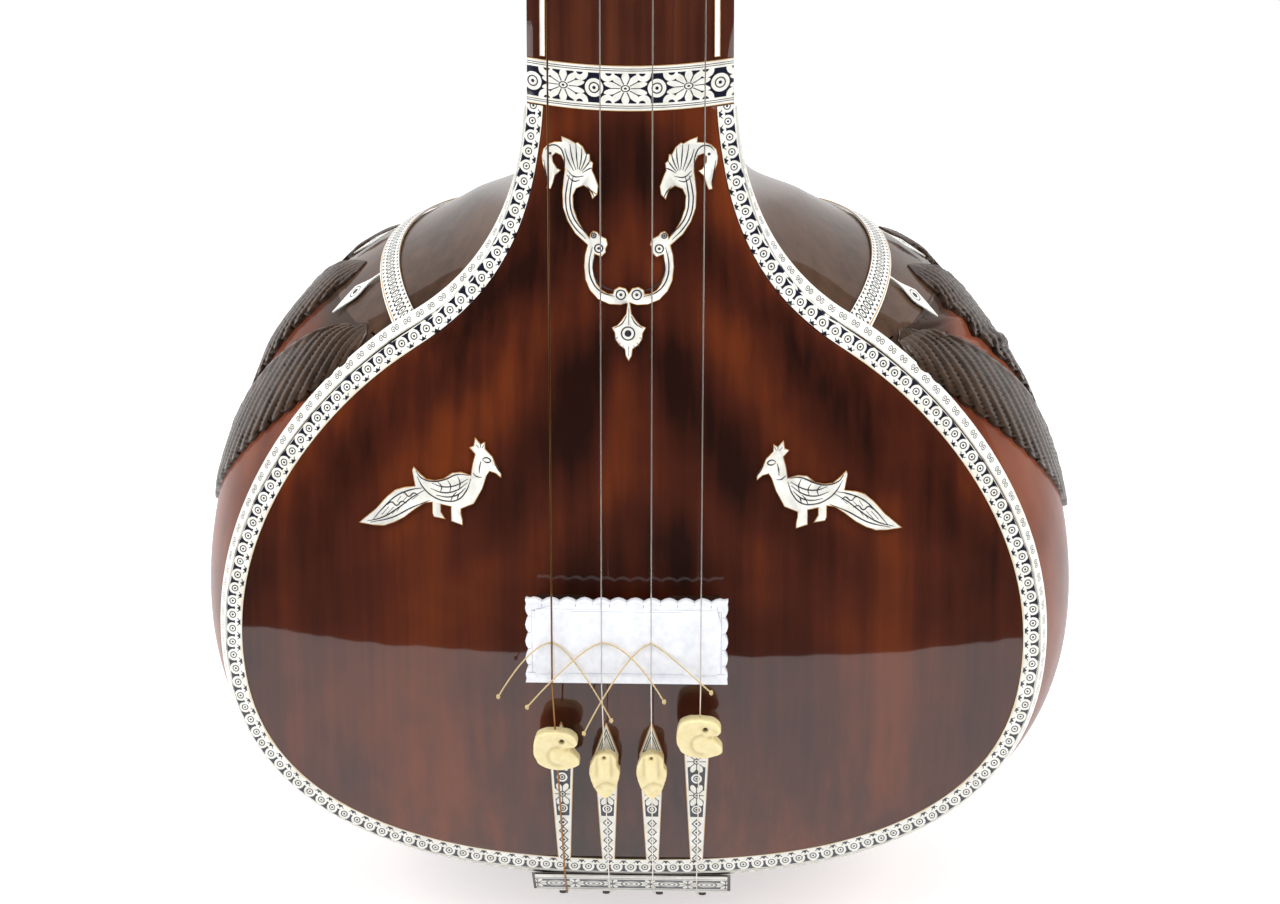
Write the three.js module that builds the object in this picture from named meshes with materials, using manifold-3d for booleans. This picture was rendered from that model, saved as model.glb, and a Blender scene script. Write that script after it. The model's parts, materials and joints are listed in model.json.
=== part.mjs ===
// Tanpura: a long-necked drone lute with a gourd resonator and four strings.
// Millimetres. +Z runs up along the neck, +X to the right and -Y to the front,
// as the instrument is seen from the soundboard side.
import * as THREE from "three";
import { TessellateModifier } from "three/addons/modifiers/TessellateModifier.js";
import Module from "manifold-3d";

const wasm = await Module();
wasm.setup();

// Driving dimensions
const clearance = 0.3;
const overrun = 4;

// Rim of the soundboard, measured from its widest line
const bellyHeight = 155;
const rimHalfWidth = 200.5;
const rimFoot = 31;
const rimPower = 2.5;
const shoulderHalfWidth = 104;
const shoulderRise = 153;
const shoulderBulge = 70;
const shoulderLead = 44;

// Gourd
const gourdFlare = 27.5;
const gourdRise = 215;
const gourdPower = 2.2;
const gourdFrontDepth = 105;
const gourdBackDepth = 165;
const gourdWall = 8;
const gourdRimWall = 10.5;
const poleLimit = 0.02;

// Throat between the gourd and the neck
const throatLength = 119;
const throatAxisDepth = 60;
const throatKnee = 45;
const throatLeadShare = 0.57;
const throatWall = 12;
const throatRimWall = 17;
const jointEndRadius = 132;
const jointBackRadius = 165;
const jointPower = 3;
const jointGap = 0.75;

// Neck and head
const neckHalfWidth = 48.5;
const neckDepth = 60;
const neckPower = 2.3;
const neckWall = 8;
const scaleLength = 1000;
const coverPastNut = 34;
const headLength = 240;
const headHalfWidth = 45;
const headDepth = 52;
const headRound = 9;
const headRoundShare = 0.3;

// Soundboard, neck cover and their crowned front
const boardCrown = 24;
const neckCrown = 13;
const nutCrown = 11;
const boardThickness = 4;
const coverThickness = 5;
const rimEdge = 2;
const linerWidth = 8;
const linerDepth = 11;

// Inlays
const bindingWidth = 8;
const sideBindingWidth = 6.5;
const sideBindingThickness = 1;
const sideBindingLift = 0.35;
const collarWidth = 21;
const collarDrop = 11;
const collarSag = 3;
const collarThickness = 1.8;
const ledgePower = 8;
const throatBandWidth = 9.5;
const throatBandRadius = 122;
const inlayThickness = 0.8;
const neckStripWidth = 2.8;
const neckStripInset = 9;
const eyeLength = 25;
const eyeWidth = 9;
const eyeRadius = 138;
const eyeSink = 0.1;
const scrollHalfWidth = 41.5;
const scrollHeight = 105;
const scrollDrop = 131;
const peacockLength = 70;
const peacockHeight = 44.5;
const peacockBeak = 61;
const peacockRise = 58.5;

// Carved leaves
const leafCount = 11;
const leafSpreadAngle = 217.5;
const leafHalfWidth = 28;
const leafThickness = 5;
const leafGroove = 1.2;
const leafSeat = 0.7;
const leafStartRadius = 136;
const leafEndAngle = 79;
const leafSweepShare = 0.255;
const leafSweepPower = 0.85;
const leafBaseRound = 0.25;
const leafEdgeShare = 0.45;
const leafTipShare = 0.55;

// Bridge
const bridgeRise = 11;
const bridgeLength = 96;
const bridgeWidth = 41;
const bridgeStand = 24;
const plateThickness = 7;
const scallopDepth = 1.6;
const scallopPitch = 8;
const plateLip = 5;
const plateLipDepth = 0.8;
const footLength = 24;
const archHeight = 9;
const archEndShare = 0.4;
const bridgeBaseInset = 4;

// Strings
const bridgeSpacing = 23.5;
const nutSpacing = 24.8;
const tailSpacing = 22;
const guideSpacing = 21;
const steelDiameter = 0.6;
const brassDiameter = 0.9;

// Tailpiece
const tailHalfLength = 50;
const tailTopGap = 0.9;
const tailFace = 21;
const tailFaceAngle = 45;
const tailFoot = 16;
const facingThickness = 1.2;
const facingInset = 1.6;
const postRadius = 2;
const postLength = 5;
const stripTopShare = 0.6415;
const stripPoint = 17;
const stripFootWidth = 6.4;
const stripTopWidth = 12;
const stripTipWidth = 0.4;

// Nut and string guide
const nutThickness = 7;
const nutStand = 9;
const guideThickness = 4;
const guideDistance = 27;
const guideStand = 8;
const guideHoleRadius = 1.6;

// Tuning pegs
const pegShaftRadius = 5;
const pegTipRadius = 3.8;
const pegKnobRadius = 21;
const pegKnobLength = 54;
const pegStandOff = 12;
const frontPegGap = 3;
const sidePegDepth = 16;
const firstPegDistance = 41;
const sidePegPitch = 40;
const frontPegDistance = 138;
const frontPegPitch = 52;
const frontPegSeat = 34;
const channelWall = 9;
const channelDepth = 34;
const channelStart = 4;
const channelLength = 108;
const windingCurls = 5;
const windingPitch = 1.7;
const windingStart = 3;

// Beads and threads
const beadWidth = 23;
const beadHeight = 23;
const beadThickness = 12;
const leafBeadThickness = 10;
const leafBeadWidth = 15.5;
const leafBeadHeight = 28;
const beadBoreRadius = 0.9;
const swanBeadShares = [0.57, 0.63];
const leafBeadShare = 0.459;
const threadDiameter = 0.7;

// Mesh density
const columnCount = 12;
const boardSteps = 20;
const boardStep = 12;
const throatColumns = 22;
const rimSteps = 34;
const linerSteps = 20;
const gourdPoleAngle = 125;
const gourdRingShares = [0, 0.07, 0.18, 0.3, 0.43, 0.57, 0.71, 0.86, 1];
const throatStationShares = [
  0, 0.07, 0.15, 0.23, 0.31, 0.4, 0.49, 0.58, 0.67, 0.76, 0.84, 0.92, 1, 1.3, 1.65, 2,
];
const inlayMesh = 13;
const holeSegments = 5;
const stringSides = 6;
const threadSteps = 20;
const pegSides = 12;
const windingSteps = 8;
const windingSides = 5;

// Places that follow from the driving dimensions
const seatDepth = rimEdge + clearance;
const rimDrop = bellyHeight - rimFoot;
const gourdHalfWidth = rimHalfWidth + gourdFlare;
const shoulderHeight = bellyHeight + shoulderRise;
const throatTop = shoulderHeight + throatLength;
const collarHigh = throatTop + collarWidth - collarDrop;
const collarLow = throatTop - collarDrop;
const bridgeLevel = bellyHeight + bridgeRise;
const nutLevel = bridgeLevel + scaleLength;
const neckTop = nutLevel + coverPastNut;
const headTop = neckTop + headLength;
const throatRadius = Math.hypot(shoulderHalfWidth, throatAxisDepth);
const degree = Math.PI / 180;
const tiny = 1e-5;

// General helpers
const point = (x, y, z) => new THREE.Vector3(x, y, z);
const mix = THREE.MathUtils.lerp;
const clamp = THREE.MathUtils.clamp;
const steps = (count) => Array.from({ length: count + 1 }, (_, i) => i / count);
const signedPower = (value, power) => Math.sign(value) * Math.abs(value) ** power;

function bisect(low, high, tooLow) {
  let a = low;
  let b = high;
  for (let i = 0; i < 48; i++) {
    const middle = (a + b) / 2;
    if (tooLow(middle)) a = middle;
    else b = middle;
  }
  return (a + b) / 2;
}

// One closed solid from corner points and faces, turned so that it faces out
function closedSolid(points, faces) {
  const known = new Map();
  const corners = [];
  const index = points.map((p) => {
    const key = `${Math.round(p.x * 1e4)},${Math.round(p.y * 1e4)},${Math.round(p.z * 1e4)}`;
    if (!known.has(key)) {
      known.set(key, corners.length);
      corners.push(p);
    }
    return known.get(key);
  });
  const triangles = [];
  for (const face of faces) {
    for (let i = 2; i < face.length; i++) {
      const [a, b, c] = [index[face[0]], index[face[i - 1]], index[face[i]]];
      if (a !== b && b !== c && c !== a) triangles.push([a, b, c]);
    }
  }
  let volume = 0;
  for (const [a, b, c] of triangles) {
    volume += corners[a].dot(corners[b].clone().cross(corners[c]));
  }
  const order = volume < 0 ? triangles.map(([a, b, c]) => [a, c, b]) : triangles;
  const geometry = new THREE.BufferGeometry();
  geometry.setAttribute("position", new THREE.Float32BufferAttribute(corners.flatMap((p) => p.toArray()), 3));
  geometry.setIndex(order.flat());
  return geometry;
}

// A sheet with thickness: two grids of points, closed around their border
function gridSolid(face, back) {
  const rows = face.length;
  const columns = face[0].length;
  const at = (side, i, j) => (side * rows + i) * columns + j;
  const faces = [];
  for (let i = 0; i < rows - 1; i++) {
    for (let j = 0; j < columns - 1; j++) {
      faces.push([at(0, i, j), at(0, i, j + 1), at(0, i + 1, j + 1), at(0, i + 1, j)]);
      faces.push([at(1, i, j), at(1, i + 1, j), at(1, i + 1, j + 1), at(1, i, j + 1)]);
    }
  }
  const last = rows - 1;
  const end = columns - 1;
  for (let j = 0; j < end; j++) {
    faces.push([at(0, 0, j + 1), at(0, 0, j), at(1, 0, j), at(1, 0, j + 1)]);
    faces.push([at(0, last, j), at(0, last, j + 1), at(1, last, j + 1), at(1, last, j)]);
  }
  for (let i = 0; i < last; i++) {
    faces.push([at(0, i, 0), at(0, i + 1, 0), at(1, i + 1, 0), at(1, i, 0)]);
    faces.push([at(0, i + 1, end), at(0, i, end), at(1, i, end), at(1, i + 1, end)]);
  }
  return closedSolid([...face.flat(), ...back.flat()], faces);
}

// A bowl: outer and inner loops of points, each closed at its last loop
function bowlSolid(outer, inner) {
  const rows = outer.length;
  const count = outer[0].length;
  const at = (side, i, j) => (side * rows + i) * count + (j % count);
  const faces = [];
  for (let j = 0; j < count; j++) {
    for (let i = 0; i < rows - 1; i++) {
      faces.push([at(0, i, j), at(0, i, j + 1), at(0, i + 1, j + 1), at(0, i + 1, j)]);
      faces.push([at(1, i, j), at(1, i + 1, j), at(1, i + 1, j + 1), at(1, i, j + 1)]);
    }
    faces.push([at(0, 0, j + 1), at(0, 0, j), at(1, 0, j), at(1, 0, j + 1)]);
  }
  return closedSolid([...outer.flat(), ...inner.flat()], faces);
}

// Joining and cutting
function toManifold(geometry) {
  return new wasm.Manifold(new wasm.Mesh({
    numProp: 3,
    vertProperties: new Float32Array(geometry.attributes.position.array),
    triVerts: new Uint32Array(geometry.index.array),
  }));
}

function fromManifold(solid) {
  const mesh = solid.getMesh();
  const geometry = new THREE.BufferGeometry();
  geometry.setAttribute("position", new THREE.Float32BufferAttribute(mesh.vertProperties, 3));
  geometry.setIndex(Array.from(mesh.triVerts));
  return geometry;
}

function weld(geometry) {
  const source = geometry.index ? geometry.toNonIndexed() : geometry;
  const place = source.attributes.position;
  const points = [];
  const faces = [];
  for (let i = 0; i < place.count; i++) points.push(point(place.getX(i), place.getY(i), place.getZ(i)));
  for (let i = 0; i < place.count; i += 3) faces.push([i, i + 1, i + 2]);
  return closedSolid(points, faces);
}

const cut = (body, ...tools) => fromManifold(
  tools.reduce((solid, tool) => solid.subtract(toManifold(weld(tool))), toManifold(weld(body))),
);
const join = (body, ...more) => fromManifold(
  more.reduce((solid, other) => solid.add(toManifold(weld(other))), toManifold(weld(body))),
);

// Gourd: the surface is given by an angle around the belly and an angle from front to back
function gourdRadius(angle) {
  const tall = Math.sin(angle) > 0 ? gourdRise : bellyHeight;
  const across = Math.abs(Math.cos(angle) / gourdHalfWidth) ** gourdPower;
  const along = Math.abs(Math.sin(angle) / tall) ** gourdPower;
  return (across + along) ** (-1 / gourdPower);
}

const cornerAngle = Math.atan2(shoulderRise, shoulderHalfWidth);
const cornerShare = Math.hypot(shoulderHalfWidth, shoulderRise) / gourdRadius(cornerAngle);

function cornerCurve(angle) {
  const radius = gourdRadius(angle) * cornerShare;
  return new THREE.Vector2(radius * Math.cos(angle), bellyHeight + radius * Math.sin(angle));
}

const cornerTangent = cornerCurve(cornerAngle).sub(cornerCurve(cornerAngle + tiny)).normalize();
const bellyCurve = new THREE.CubicBezierCurve(
  new THREE.Vector2(rimHalfWidth, bellyHeight),
  new THREE.Vector2(rimHalfWidth, bellyHeight + shoulderBulge),
  cornerCurve(cornerAngle).addScaledVector(cornerTangent, shoulderLead),
  cornerCurve(cornerAngle),
);
const bellySamples = bellyCurve.getPoints(80).map((p) => ({
  angle: Math.atan2(p.y - bellyHeight, p.x),
  radius: Math.hypot(p.x, p.y - bellyHeight),
}));

function rimShare(angle) {
  const folded = Math.atan2(Math.sin(angle), Math.abs(Math.cos(angle)));
  if (folded >= cornerAngle) return cornerShare;
  if (folded <= 0) {
    const across = (Math.cos(folded) / rimHalfWidth) ** rimPower;
    const along = (-Math.sin(folded) / rimDrop) ** rimPower;
    return (across + along) ** (-1 / rimPower) / gourdRadius(folded);
  }
  const next = bellySamples.findIndex((s) => s.angle >= folded);
  const b = bellySamples[Math.max(next, 1)];
  const a = bellySamples[Math.max(next, 1) - 1];
  const share = (folded - a.angle) / (b.angle - a.angle);
  return mix(a.radius, b.radius, share) / gourdRadius(folded);
}

const rimSine = (angle) => Math.sqrt(1 - rimShare(angle) ** 2);

function turnAtDepth(angle, depth) {
  if (depth < gourdFrontDepth) return -Math.asin((1 - depth / gourdFrontDepth) * rimSine(angle));
  return Math.asin(Math.min(1, (depth - gourdFrontDepth) / gourdBackDepth));
}

function gourdPoint(angle, turn) {
  const radius = gourdRadius(angle) * Math.cos(turn);
  const depth = turn < 0
    ? gourdFrontDepth * (1 + Math.sin(turn) / rimSine(angle))
    : gourdFrontDepth + gourdBackDepth * Math.sin(turn);
  return point(radius * Math.cos(angle), depth, bellyHeight + radius * Math.sin(angle));
}

// Height of the gourd's upper surface over a place seen from above
function surfaceHeight(x, y) {
  const across = (angle) => gourdRadius(angle) * Math.cos(turnAtDepth(angle, y)) * Math.cos(angle);
  const angle = bisect(0, Math.PI / 2, (a) => across(a) > Math.abs(x));
  return bellyHeight + gourdRadius(angle) * Math.cos(turnAtDepth(angle, y)) * Math.sin(angle);
}

// Shoulder places: side runs from -1 at the right rim, over the back, to 1 at the left rim
function planAngle(side, radius, depth = 0) {
  const sine = clamp((throatAxisDepth - depth) / radius, -1, 1);
  return Math.PI / 2 + side * (Math.PI / 2 + Math.asin(sine));
}

function shoulderPoint(side, radius, depth = 0) {
  const angle = planAngle(side, radius, depth);
  const x = radius * Math.cos(angle);
  const y = throatAxisDepth + radius * Math.sin(angle);
  return point(x, y, surfaceHeight(x, y));
}

const jointRadius = (side) => mix(jointBackRadius, jointEndRadius, Math.abs(side) ** jointPower);

function halfWidthAtNeck(z) {
  const share = clamp((z - throatTop) / (headTop - throatTop), 0, 1);
  return mix(neckHalfWidth, headHalfWidth, share);
}

function neckPoint(z, side, inset = 0) {
  const share = clamp((z - throatTop) / (headTop - throatTop), 0, 1);
  const half = halfWidthAtNeck(z) - inset;
  const depth = mix(neckDepth, headDepth, share) - inset;
  const angle = Math.PI / 2 + side * Math.PI / 2;
  const bend = 2 / neckPower;
  return point(half * signedPower(Math.cos(angle), bend), depth * Math.sin(angle) ** bend, z);
}

// Throat: station 0 is the neck joint, 1 the shoulder and 2 the joint with the gourd
function throatPoint(side, station) {
  if (station > 1) return shoulderPoint(side, mix(throatRadius, jointRadius(side), station - 1));
  const top = neckPoint(throatTop, clamp(side, -1, 1));
  const foot = shoulderPoint(side, throatRadius);
  const inward = shoulderPoint(side, throatRadius - tiny * throatRadius).sub(foot).normalize();
  const reach = Math.hypot(foot.x - top.x, foot.y - top.y);
  const curve = new THREE.CubicBezierCurve3(
    top,
    point(top.x, top.y, foot.z + throatKnee),
    foot.clone().addScaledVector(inward, reach * throatLeadShare),
    foot,
  );
  return curve.getPoint(station);
}

// A point moved off a surface, along its normal; turned is 1 or -1
function offPoint(surface, u, v, distance, turned) {
  const h = 1e-4;
  const hu = u > 0 ? -h : h;
  const hv = v > 0 ? -h : h;
  const at = surface(u, v);
  const du = surface(u + hu, v).sub(at).divideScalar(hu);
  const dv = surface(u, v + hv).sub(at).divideScalar(hv);
  const normal = du.cross(dv).normalize().multiplyScalar(-turned);
  return at.addScaledVector(normal, distance);
}

const offThroat = (side, station, distance) => offPoint(throatPoint, side, station, distance, 1);

function offGourd(angle, turn, distance) {
  if (Math.cos(turn) < poleLimit) return gourdPoint(angle, turn).add(point(0, distance, 0));
  return offPoint(gourdPoint, angle, turn, distance, 1);
}

// The rim's outline from the tail end up to the collar, right half
const throatEdge = steps(40).map((t) => throatPoint(-1, 1 - t)).map((p) => [p.x, p.z]);
const bellyEdge = bellyCurve.getPoints(40).map((p) => [p.x, p.y]);
const tailEdge = steps(30).map((t) => {
  const angle = (1 - t) * Math.PI / 2;
  const bend = 2 / rimPower;
  return [rimHalfWidth * Math.cos(angle) ** bend, bellyHeight - rimDrop * Math.sin(angle) ** bend];
});
const rimOutline = [...tailEdge, ...bellyEdge.slice(1), ...throatEdge.slice(1)];

function halfWidthAt(z) {
  if (z >= throatTop) return halfWidthAtNeck(z);
  const next = rimOutline.findIndex((p) => p[1] >= z);
  if (next < 1) return rimOutline[1][0];
  const [a, b] = [rimOutline[next - 1], rimOutline[next]];
  return mix(a[0], b[0], (z - a[1]) / (b[1] - a[1] || 1));
}

// A place along the rim's outline, given as a share of its length, moved inwards
const rimVectors = rimOutline.map(([x, z]) => new THREE.Vector2(x, z));
const rimLengths = [0];
rimVectors.slice(1).forEach((p, i) => rimLengths.push(rimLengths[i] + p.distanceTo(rimVectors[i])));

function rimPlace(share, inset) {
  const target = share * rimLengths[rimLengths.length - 1];
  const next = clamp(rimLengths.findIndex((l) => l >= target), 1, rimVectors.length - 1);
  const moved = (i) => {
    const a = rimVectors[Math.max(i - 1, 0)];
    const b = rimVectors[Math.min(i + 1, rimVectors.length - 1)];
    const along = b.clone().sub(a).normalize();
    return rimVectors[i].clone().add(new THREE.Vector2(-along.y, along.x).multiplyScalar(inset));
  };
  const between = (target - rimLengths[next - 1]) / (rimLengths[next] - rimLengths[next - 1]);
  return moved(next - 1).lerp(moved(next), between);
}

const rimShareAtLevel = (level) => bisect(0, 1, (share) => rimPlace(share, 0).y < level);
const tailShareLimit = 0.3;
const rimShareAtSide = (x) => bisect(0, tailShareLimit, (share) => rimPlace(share, 0).x < x);

// Crown of the soundboard and of the neck cover over the plane of the rim
function crownAt(z) {
  if (z <= throatTop) {
    const share = clamp((z - bellyHeight) / (throatTop - bellyHeight), 0, 1);
    return mix(boardCrown, neckCrown, THREE.MathUtils.smoothstep(share, 0, 1));
  }
  return mix(neckCrown, nutCrown, clamp((z - throatTop) / (nutLevel - throatTop), 0, 1));
}

function crownHeight(x, z) {
  if (z < bellyHeight) {
    const across = Math.abs(x / rimHalfWidth) ** rimPower;
    const along = ((bellyHeight - z) / rimDrop) ** rimPower;
    return boardCrown * (1 - (across + along) ** (2 / rimPower));
  }
  return crownAt(z) * (1 - (x / halfWidthAt(z)) ** 2);
}

const onBoard = (x, z, lift) => point(x, -crownHeight(x, z) - lift, z);
const collarDip = (x, z) => collarSag * (1 - (x / halfWidthAt(z)) ** 2);

// Materials, after the finishes of the real instrument
const finish = (color, roughness, metalness = 0) => (
  new THREE.MeshStandardMaterial({ color, roughness, metalness })
);
const boardLacquer = finish(0x5a3020, 0.2);
const neckLacquer = finish(0x45261b, 0.2);
const throatLacquer = finish(0x4b4038, 0.2);
const gourdLacquer = finish(0x7b4030, 0.2);
const inlayIvory = finish(0xecebe0, 0.4);
const plateWhite = finish(0xf4f5fb, 0.35);
const beadCream = finish(0xeedc96, 0.5);
const threadCotton = finish(0xd8c49a, 0.9);
const pegWood = finish(0x2c201a, 0.3);
const steelWire = finish(0xb9b9b6, 0.3, 1);
const brassWire = finish(0x8f6a3a, 0.35, 1);
const linerWood = finish(0xa98258, 0.8);

const instrument = new THREE.Group();
const body = new THREE.Group();
body.position.y = seatDepth;
instrument.add(body);

function add(group, name, geometry, material) {
  const mesh = new THREE.Mesh(geometry, material);
  mesh.name = name;
  group.add(mesh);
  return mesh;
}

// The gourd's surface along a ray
function gourdAlong(start, out) {
  const inside = (distance) => {
    const p = start.clone().addScaledVector(out, distance);
    const angle = Math.atan2(p.z - bellyHeight, p.x);
    const turn = turnAtDepth(angle, Math.max(0, p.y));
    return p.y < gourdFrontDepth + gourdBackDepth
      && Math.hypot(p.x, p.z - bellyHeight) < gourdRadius(angle) * Math.cos(turn);
  };
  return start.clone().addScaledVector(out, bisect(0, 2 * gourdHalfWidth, inside));
}

// Gourd shell, open at the front and where the throat sits
function gourdShell() {
  const loop = steps(throatColumns).map((t) => {
    const side = 2 * t - 1;
    return { p: shoulderPoint(side, jointRadius(side) + jointGap), onRim: Math.abs(side) === 1 };
  });
  const place = ({ p }) => Math.atan2(p.z - bellyHeight, p.x);
  const [start, end] = [place(loop[0]), place(loop[loop.length - 1])];
  for (let i = 1; i < rimSteps; i++) {
    const angle = mix(end, start + 2 * Math.PI, i / rimSteps);
    loop.push({ p: gourdPoint(angle, turnAtDepth(angle, 0)), onRim: true });
  }
  const middle = point(0, gourdFrontDepth, bellyHeight);
  const pole = new THREE.Spherical(1, gourdPoleAngle * degree, 0);
  const poleWay = new THREE.Vector3().setFromSpherical(pole);
  poleWay.set(0, poleWay.z, poleWay.y);
  const ring = (share, distance) => loop.map(({ p, onRim }) => {
    const out = p.clone().sub(middle).normalize();
    const turned = new THREE.Quaternion().setFromUnitVectors(out, poleWay);
    out.applyQuaternion(new THREE.Quaternion().slerp(turned, share));
    const q = share === 0 ? p : gourdAlong(middle, out);
    const angle = Math.atan2(q.z - bellyHeight, q.x);
    const atEdge = share === 0 && onRim;
    const inward = atEdge ? distance * gourdRimWall / gourdWall : distance;
    const inner = offGourd(angle, turnAtDepth(angle, q.y), -inward);
    if (atEdge) inner.y = 0;
    return inner;
  });
  const outer = gourdRingShares.map((share) => ring(share, 0));
  return bowlSolid(outer, gourdRingShares.map((share) => ring(share, gourdWall)));
}

add(body, "gourd_shell", gourdShell(), gourdLacquer);

// Throat: a carved trough, open at the front
function throat() {
  const stations = throatStationShares;
  const sides = steps(throatColumns).map((t) => 2 * t - 1);
  const outer = stations.map((station) => sides.map((side) => throatPoint(side, station)));
  const inner = stations.map((station) => sides.map((side) => {
    const edge = Math.abs(side) === 1;
    const rimWall = mix(throatRimWall, gourdRimWall, clamp(station - 1, 0, 1));
    const p = offThroat(side, station, edge ? -rimWall : -throatWall);
    if (edge) p.y = 0;
    if (station === 0) p.z = throatTop;
    return p;
  }));
  return gridSolid(outer, inner);
}

add(body, "throat", throat(), throatLacquer);

// Liner: a wooden strip inside the gourd's rim, which carries the soundboard
function rimLiner() {
  const inset = gourdRimWall + clearance;
  const jointLevel = shoulderPoint(1, jointEndRadius).z;
  const from = rimShareAtSide(tailHalfLength);
  const to = rimShareAtLevel(jointLevel - 2 * linerWidth);
  const pair = (share) => [0, linerWidth].map((width) => rimPlace(share, inset + width));
  const right = steps(linerSteps).map((t) => pair(mix(from, to, t)));
  const all = [...right.map(([a, b]) => [-1, a, b]).reverse(), ...right.map(([a, b]) => [1, a, b])];
  const level = (depth) => all.map(([sign, a, b]) => [
    point(sign * a.x, depth, a.y),
    point(sign * b.x, depth, b.y),
  ]);
  return gridSolid(level(0), level(linerDepth));
}

add(body, "rim_liner", rimLiner(), linerWood);

// Neck: a hollow trough with a round back
function neckTrough() {
  const levels = [throatTop + clearance, mix(throatTop, neckTop, 0.5), neckTop];
  const sides = steps(16).map((t) => 2 * t - 1);
  const wall = (inset) => levels.map((z) => sides.map((side) => neckPoint(z, side, inset)));
  return gridSolid(wall(0), wall(neckWall));
}

add(body, "neck_trough", neckTrough(), neckLacquer);

// Soundboard, domed, with a ledge under the collar band
const across = steps(columnCount).map((t) => 2 * t - 1);

function boardUnderside(x, z, edge, thickness) {
  if (edge) return point(x, rimEdge, z);
  return point(x, Math.min(rimEdge, thickness - crownHeight(x, z)), z);
}

const ledgeAt = (t) => mix(collarThickness, inlayThickness, Math.abs(t) ** ledgePower) + clearance;

function soundboard() {
  const from = rimShareAtSide(tailHalfLength);
  const to = rimShareAtLevel(collarLow - boardStep);
  const rows = steps(boardSteps).map((t) => {
    const p = rimPlace(mix(from, to, t), bindingWidth + clearance);
    return { half: p.x, z: p.y, drop: 0 };
  });
  rows.push({ half: halfWidthAt(collarLow) - bindingWidth - clearance, z: collarLow - clearance, drop: 0 });
  rows.push({ half: halfWidthAt(collarLow), z: collarLow - clearance, drop: 1 });
  rows.push({ half: halfWidthAt(throatTop), z: throatTop - clearance, drop: 1 });
  const place = ({ half, z }, t) => {
    const x = t * half;
    const fade = THREE.MathUtils.smoothstep(z, collarLow - 3 * boardStep, collarLow - clearance);
    return [x, z - fade * collarDip(x, z)];
  };
  const face = rows.map((row) => across.map((t) => {
    const [x, z] = place(row, t);
    return onBoard(x, z, -row.drop * ledgeAt(t));
  }));
  const back = rows.map((row) => across.map((t) => {
    const [x, z] = place(row, t);
    return boardUnderside(x, z, Math.abs(t) === 1, boardThickness);
  }));
  return gridSolid(face, back);
}

add(instrument, "soundboard", soundboard(), boardLacquer);

// Neck cover, crowned, with the other half of the ledge
function neckCover() {
  const rows = [
    { z: throatTop, drop: 1, dip: 1 },
    { z: collarHigh + clearance, drop: 1, dip: 1 },
    { z: collarHigh + clearance, drop: 0, dip: 1 },
    { z: collarHigh + collarWidth, drop: 0, dip: 0 },
    { z: mix(collarHigh, neckTop, 0.5), drop: 0, dip: 0 },
    { z: neckTop, drop: 0, dip: 0 },
  ];
  const place = ({ z, dip }, t) => {
    const x = t * halfWidthAt(z);
    return [x, z - dip * collarDip(x, z)];
  };
  const face = rows.map((row) => across.map((t) => {
    const [x, z] = place(row, t);
    return onBoard(x, z, -row.drop * ledgeAt(t));
  }));
  const back = rows.map((row) => across.map((t) => {
    const [x, z] = place(row, t);
    return boardUnderside(x, z, Math.abs(t) === 1, coverThickness);
  }));
  return gridSolid(face, back);
}

add(instrument, "neck_cover", neckCover(), neckLacquer);

// Collar band over the joint of soundboard and neck cover
function collarBand() {
  const rows = [collarLow, throatTop, collarHigh];
  const layer = (share) => rows.map((z) => across.map((t) => {
    const x = t * halfWidthAt(z);
    return onBoard(x, z - collarDip(x, z), -share * (ledgeAt(t) - clearance));
  }));
  return gridSolid(layer(0), layer(1));
}

add(instrument, "collar_band", collarBand(), inlayIvory);

// Front binding: an inlaid strip along the rim, from the collar round the tail and back
function boardBinding() {
  const from = rimShareAtSide(tailHalfLength);
  const to = rimShareAtLevel(collarLow - boardStep);
  const row = (share) => steps(2).map((v) => rimPlace(share, v * bindingWidth));
  const half = [
    row(0).map((p) => new THREE.Vector2(0, p.y)),
    row(from / 2),
    ...steps(boardSteps).map((t) => row(mix(from, to, t))),
  ];
  half.push(steps(2).map((v) => {
    const x = halfWidthAt(collarLow) - v * bindingWidth;
    return new THREE.Vector2(x, collarLow - 2 * clearance - collarDip(x, collarLow));
  }));
  const strip = [
    ...half.map((points) => points.map((p) => [-p.x, p.y])).reverse(),
    ...half.slice(1).map((points) => points.map((p) => [p.x, p.y])),
  ];
  const face = strip.map((points) => points.map(([x, z]) => point(x, -Math.max(0, crownHeight(x, z)), z)));
  const back = strip.map((points) => points.map(([x, z]) => point(x, rimEdge, z)));
  return gridSolid(face, back);
}

add(instrument, "board_binding", boardBinding(), inlayIvory);

// Side binding: a narrower strip on the outside, just behind the front one
function jointAngle(side) {
  const p = shoulderPoint(side, jointRadius(side));
  return Math.atan2(p.z - bellyHeight, Math.abs(p.x));
}

function sideBinding() {
  const depths = [clearance, clearance + sideBindingWidth];
  const lifts = [sideBindingLift, sideBindingLift + sideBindingThickness];
  const onThroat = (station, sign) => depths.map((depth) => {
    const side = sign * bisect(0.5, 1, (s) => throatPoint(s, station).y > depth);
    return lifts.map((lift) => offThroat(side, station, lift));
  });
  const gourdStart = jointAngle(-1);
  const onGourd = (angle) => depths.map((depth) => {
    const turn = turnAtDepth(angle, depth);
    return lifts.map((lift) => offGourd(angle, turn, lift));
  });
  const stations = throatStationShares.filter((station) => station > 0.05 && station < 1.5);
  const rim = steps(rimSteps).map((t) => mix(Math.PI - gourdStart, 2 * Math.PI + gourdStart, t));
  const rows = [
    ...stations.map((station) => onThroat(station, 1)),
    ...rim.map(onGourd),
    ...stations.map((station) => onThroat(station, -1)).reverse(),
  ];
  return gridSolid(rows.map((row) => row.map((p) => p[1])), rows.map((row) => row.map((p) => p[0])));
}

add(body, "side_binding", sideBinding(), inlayIvory);

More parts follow.
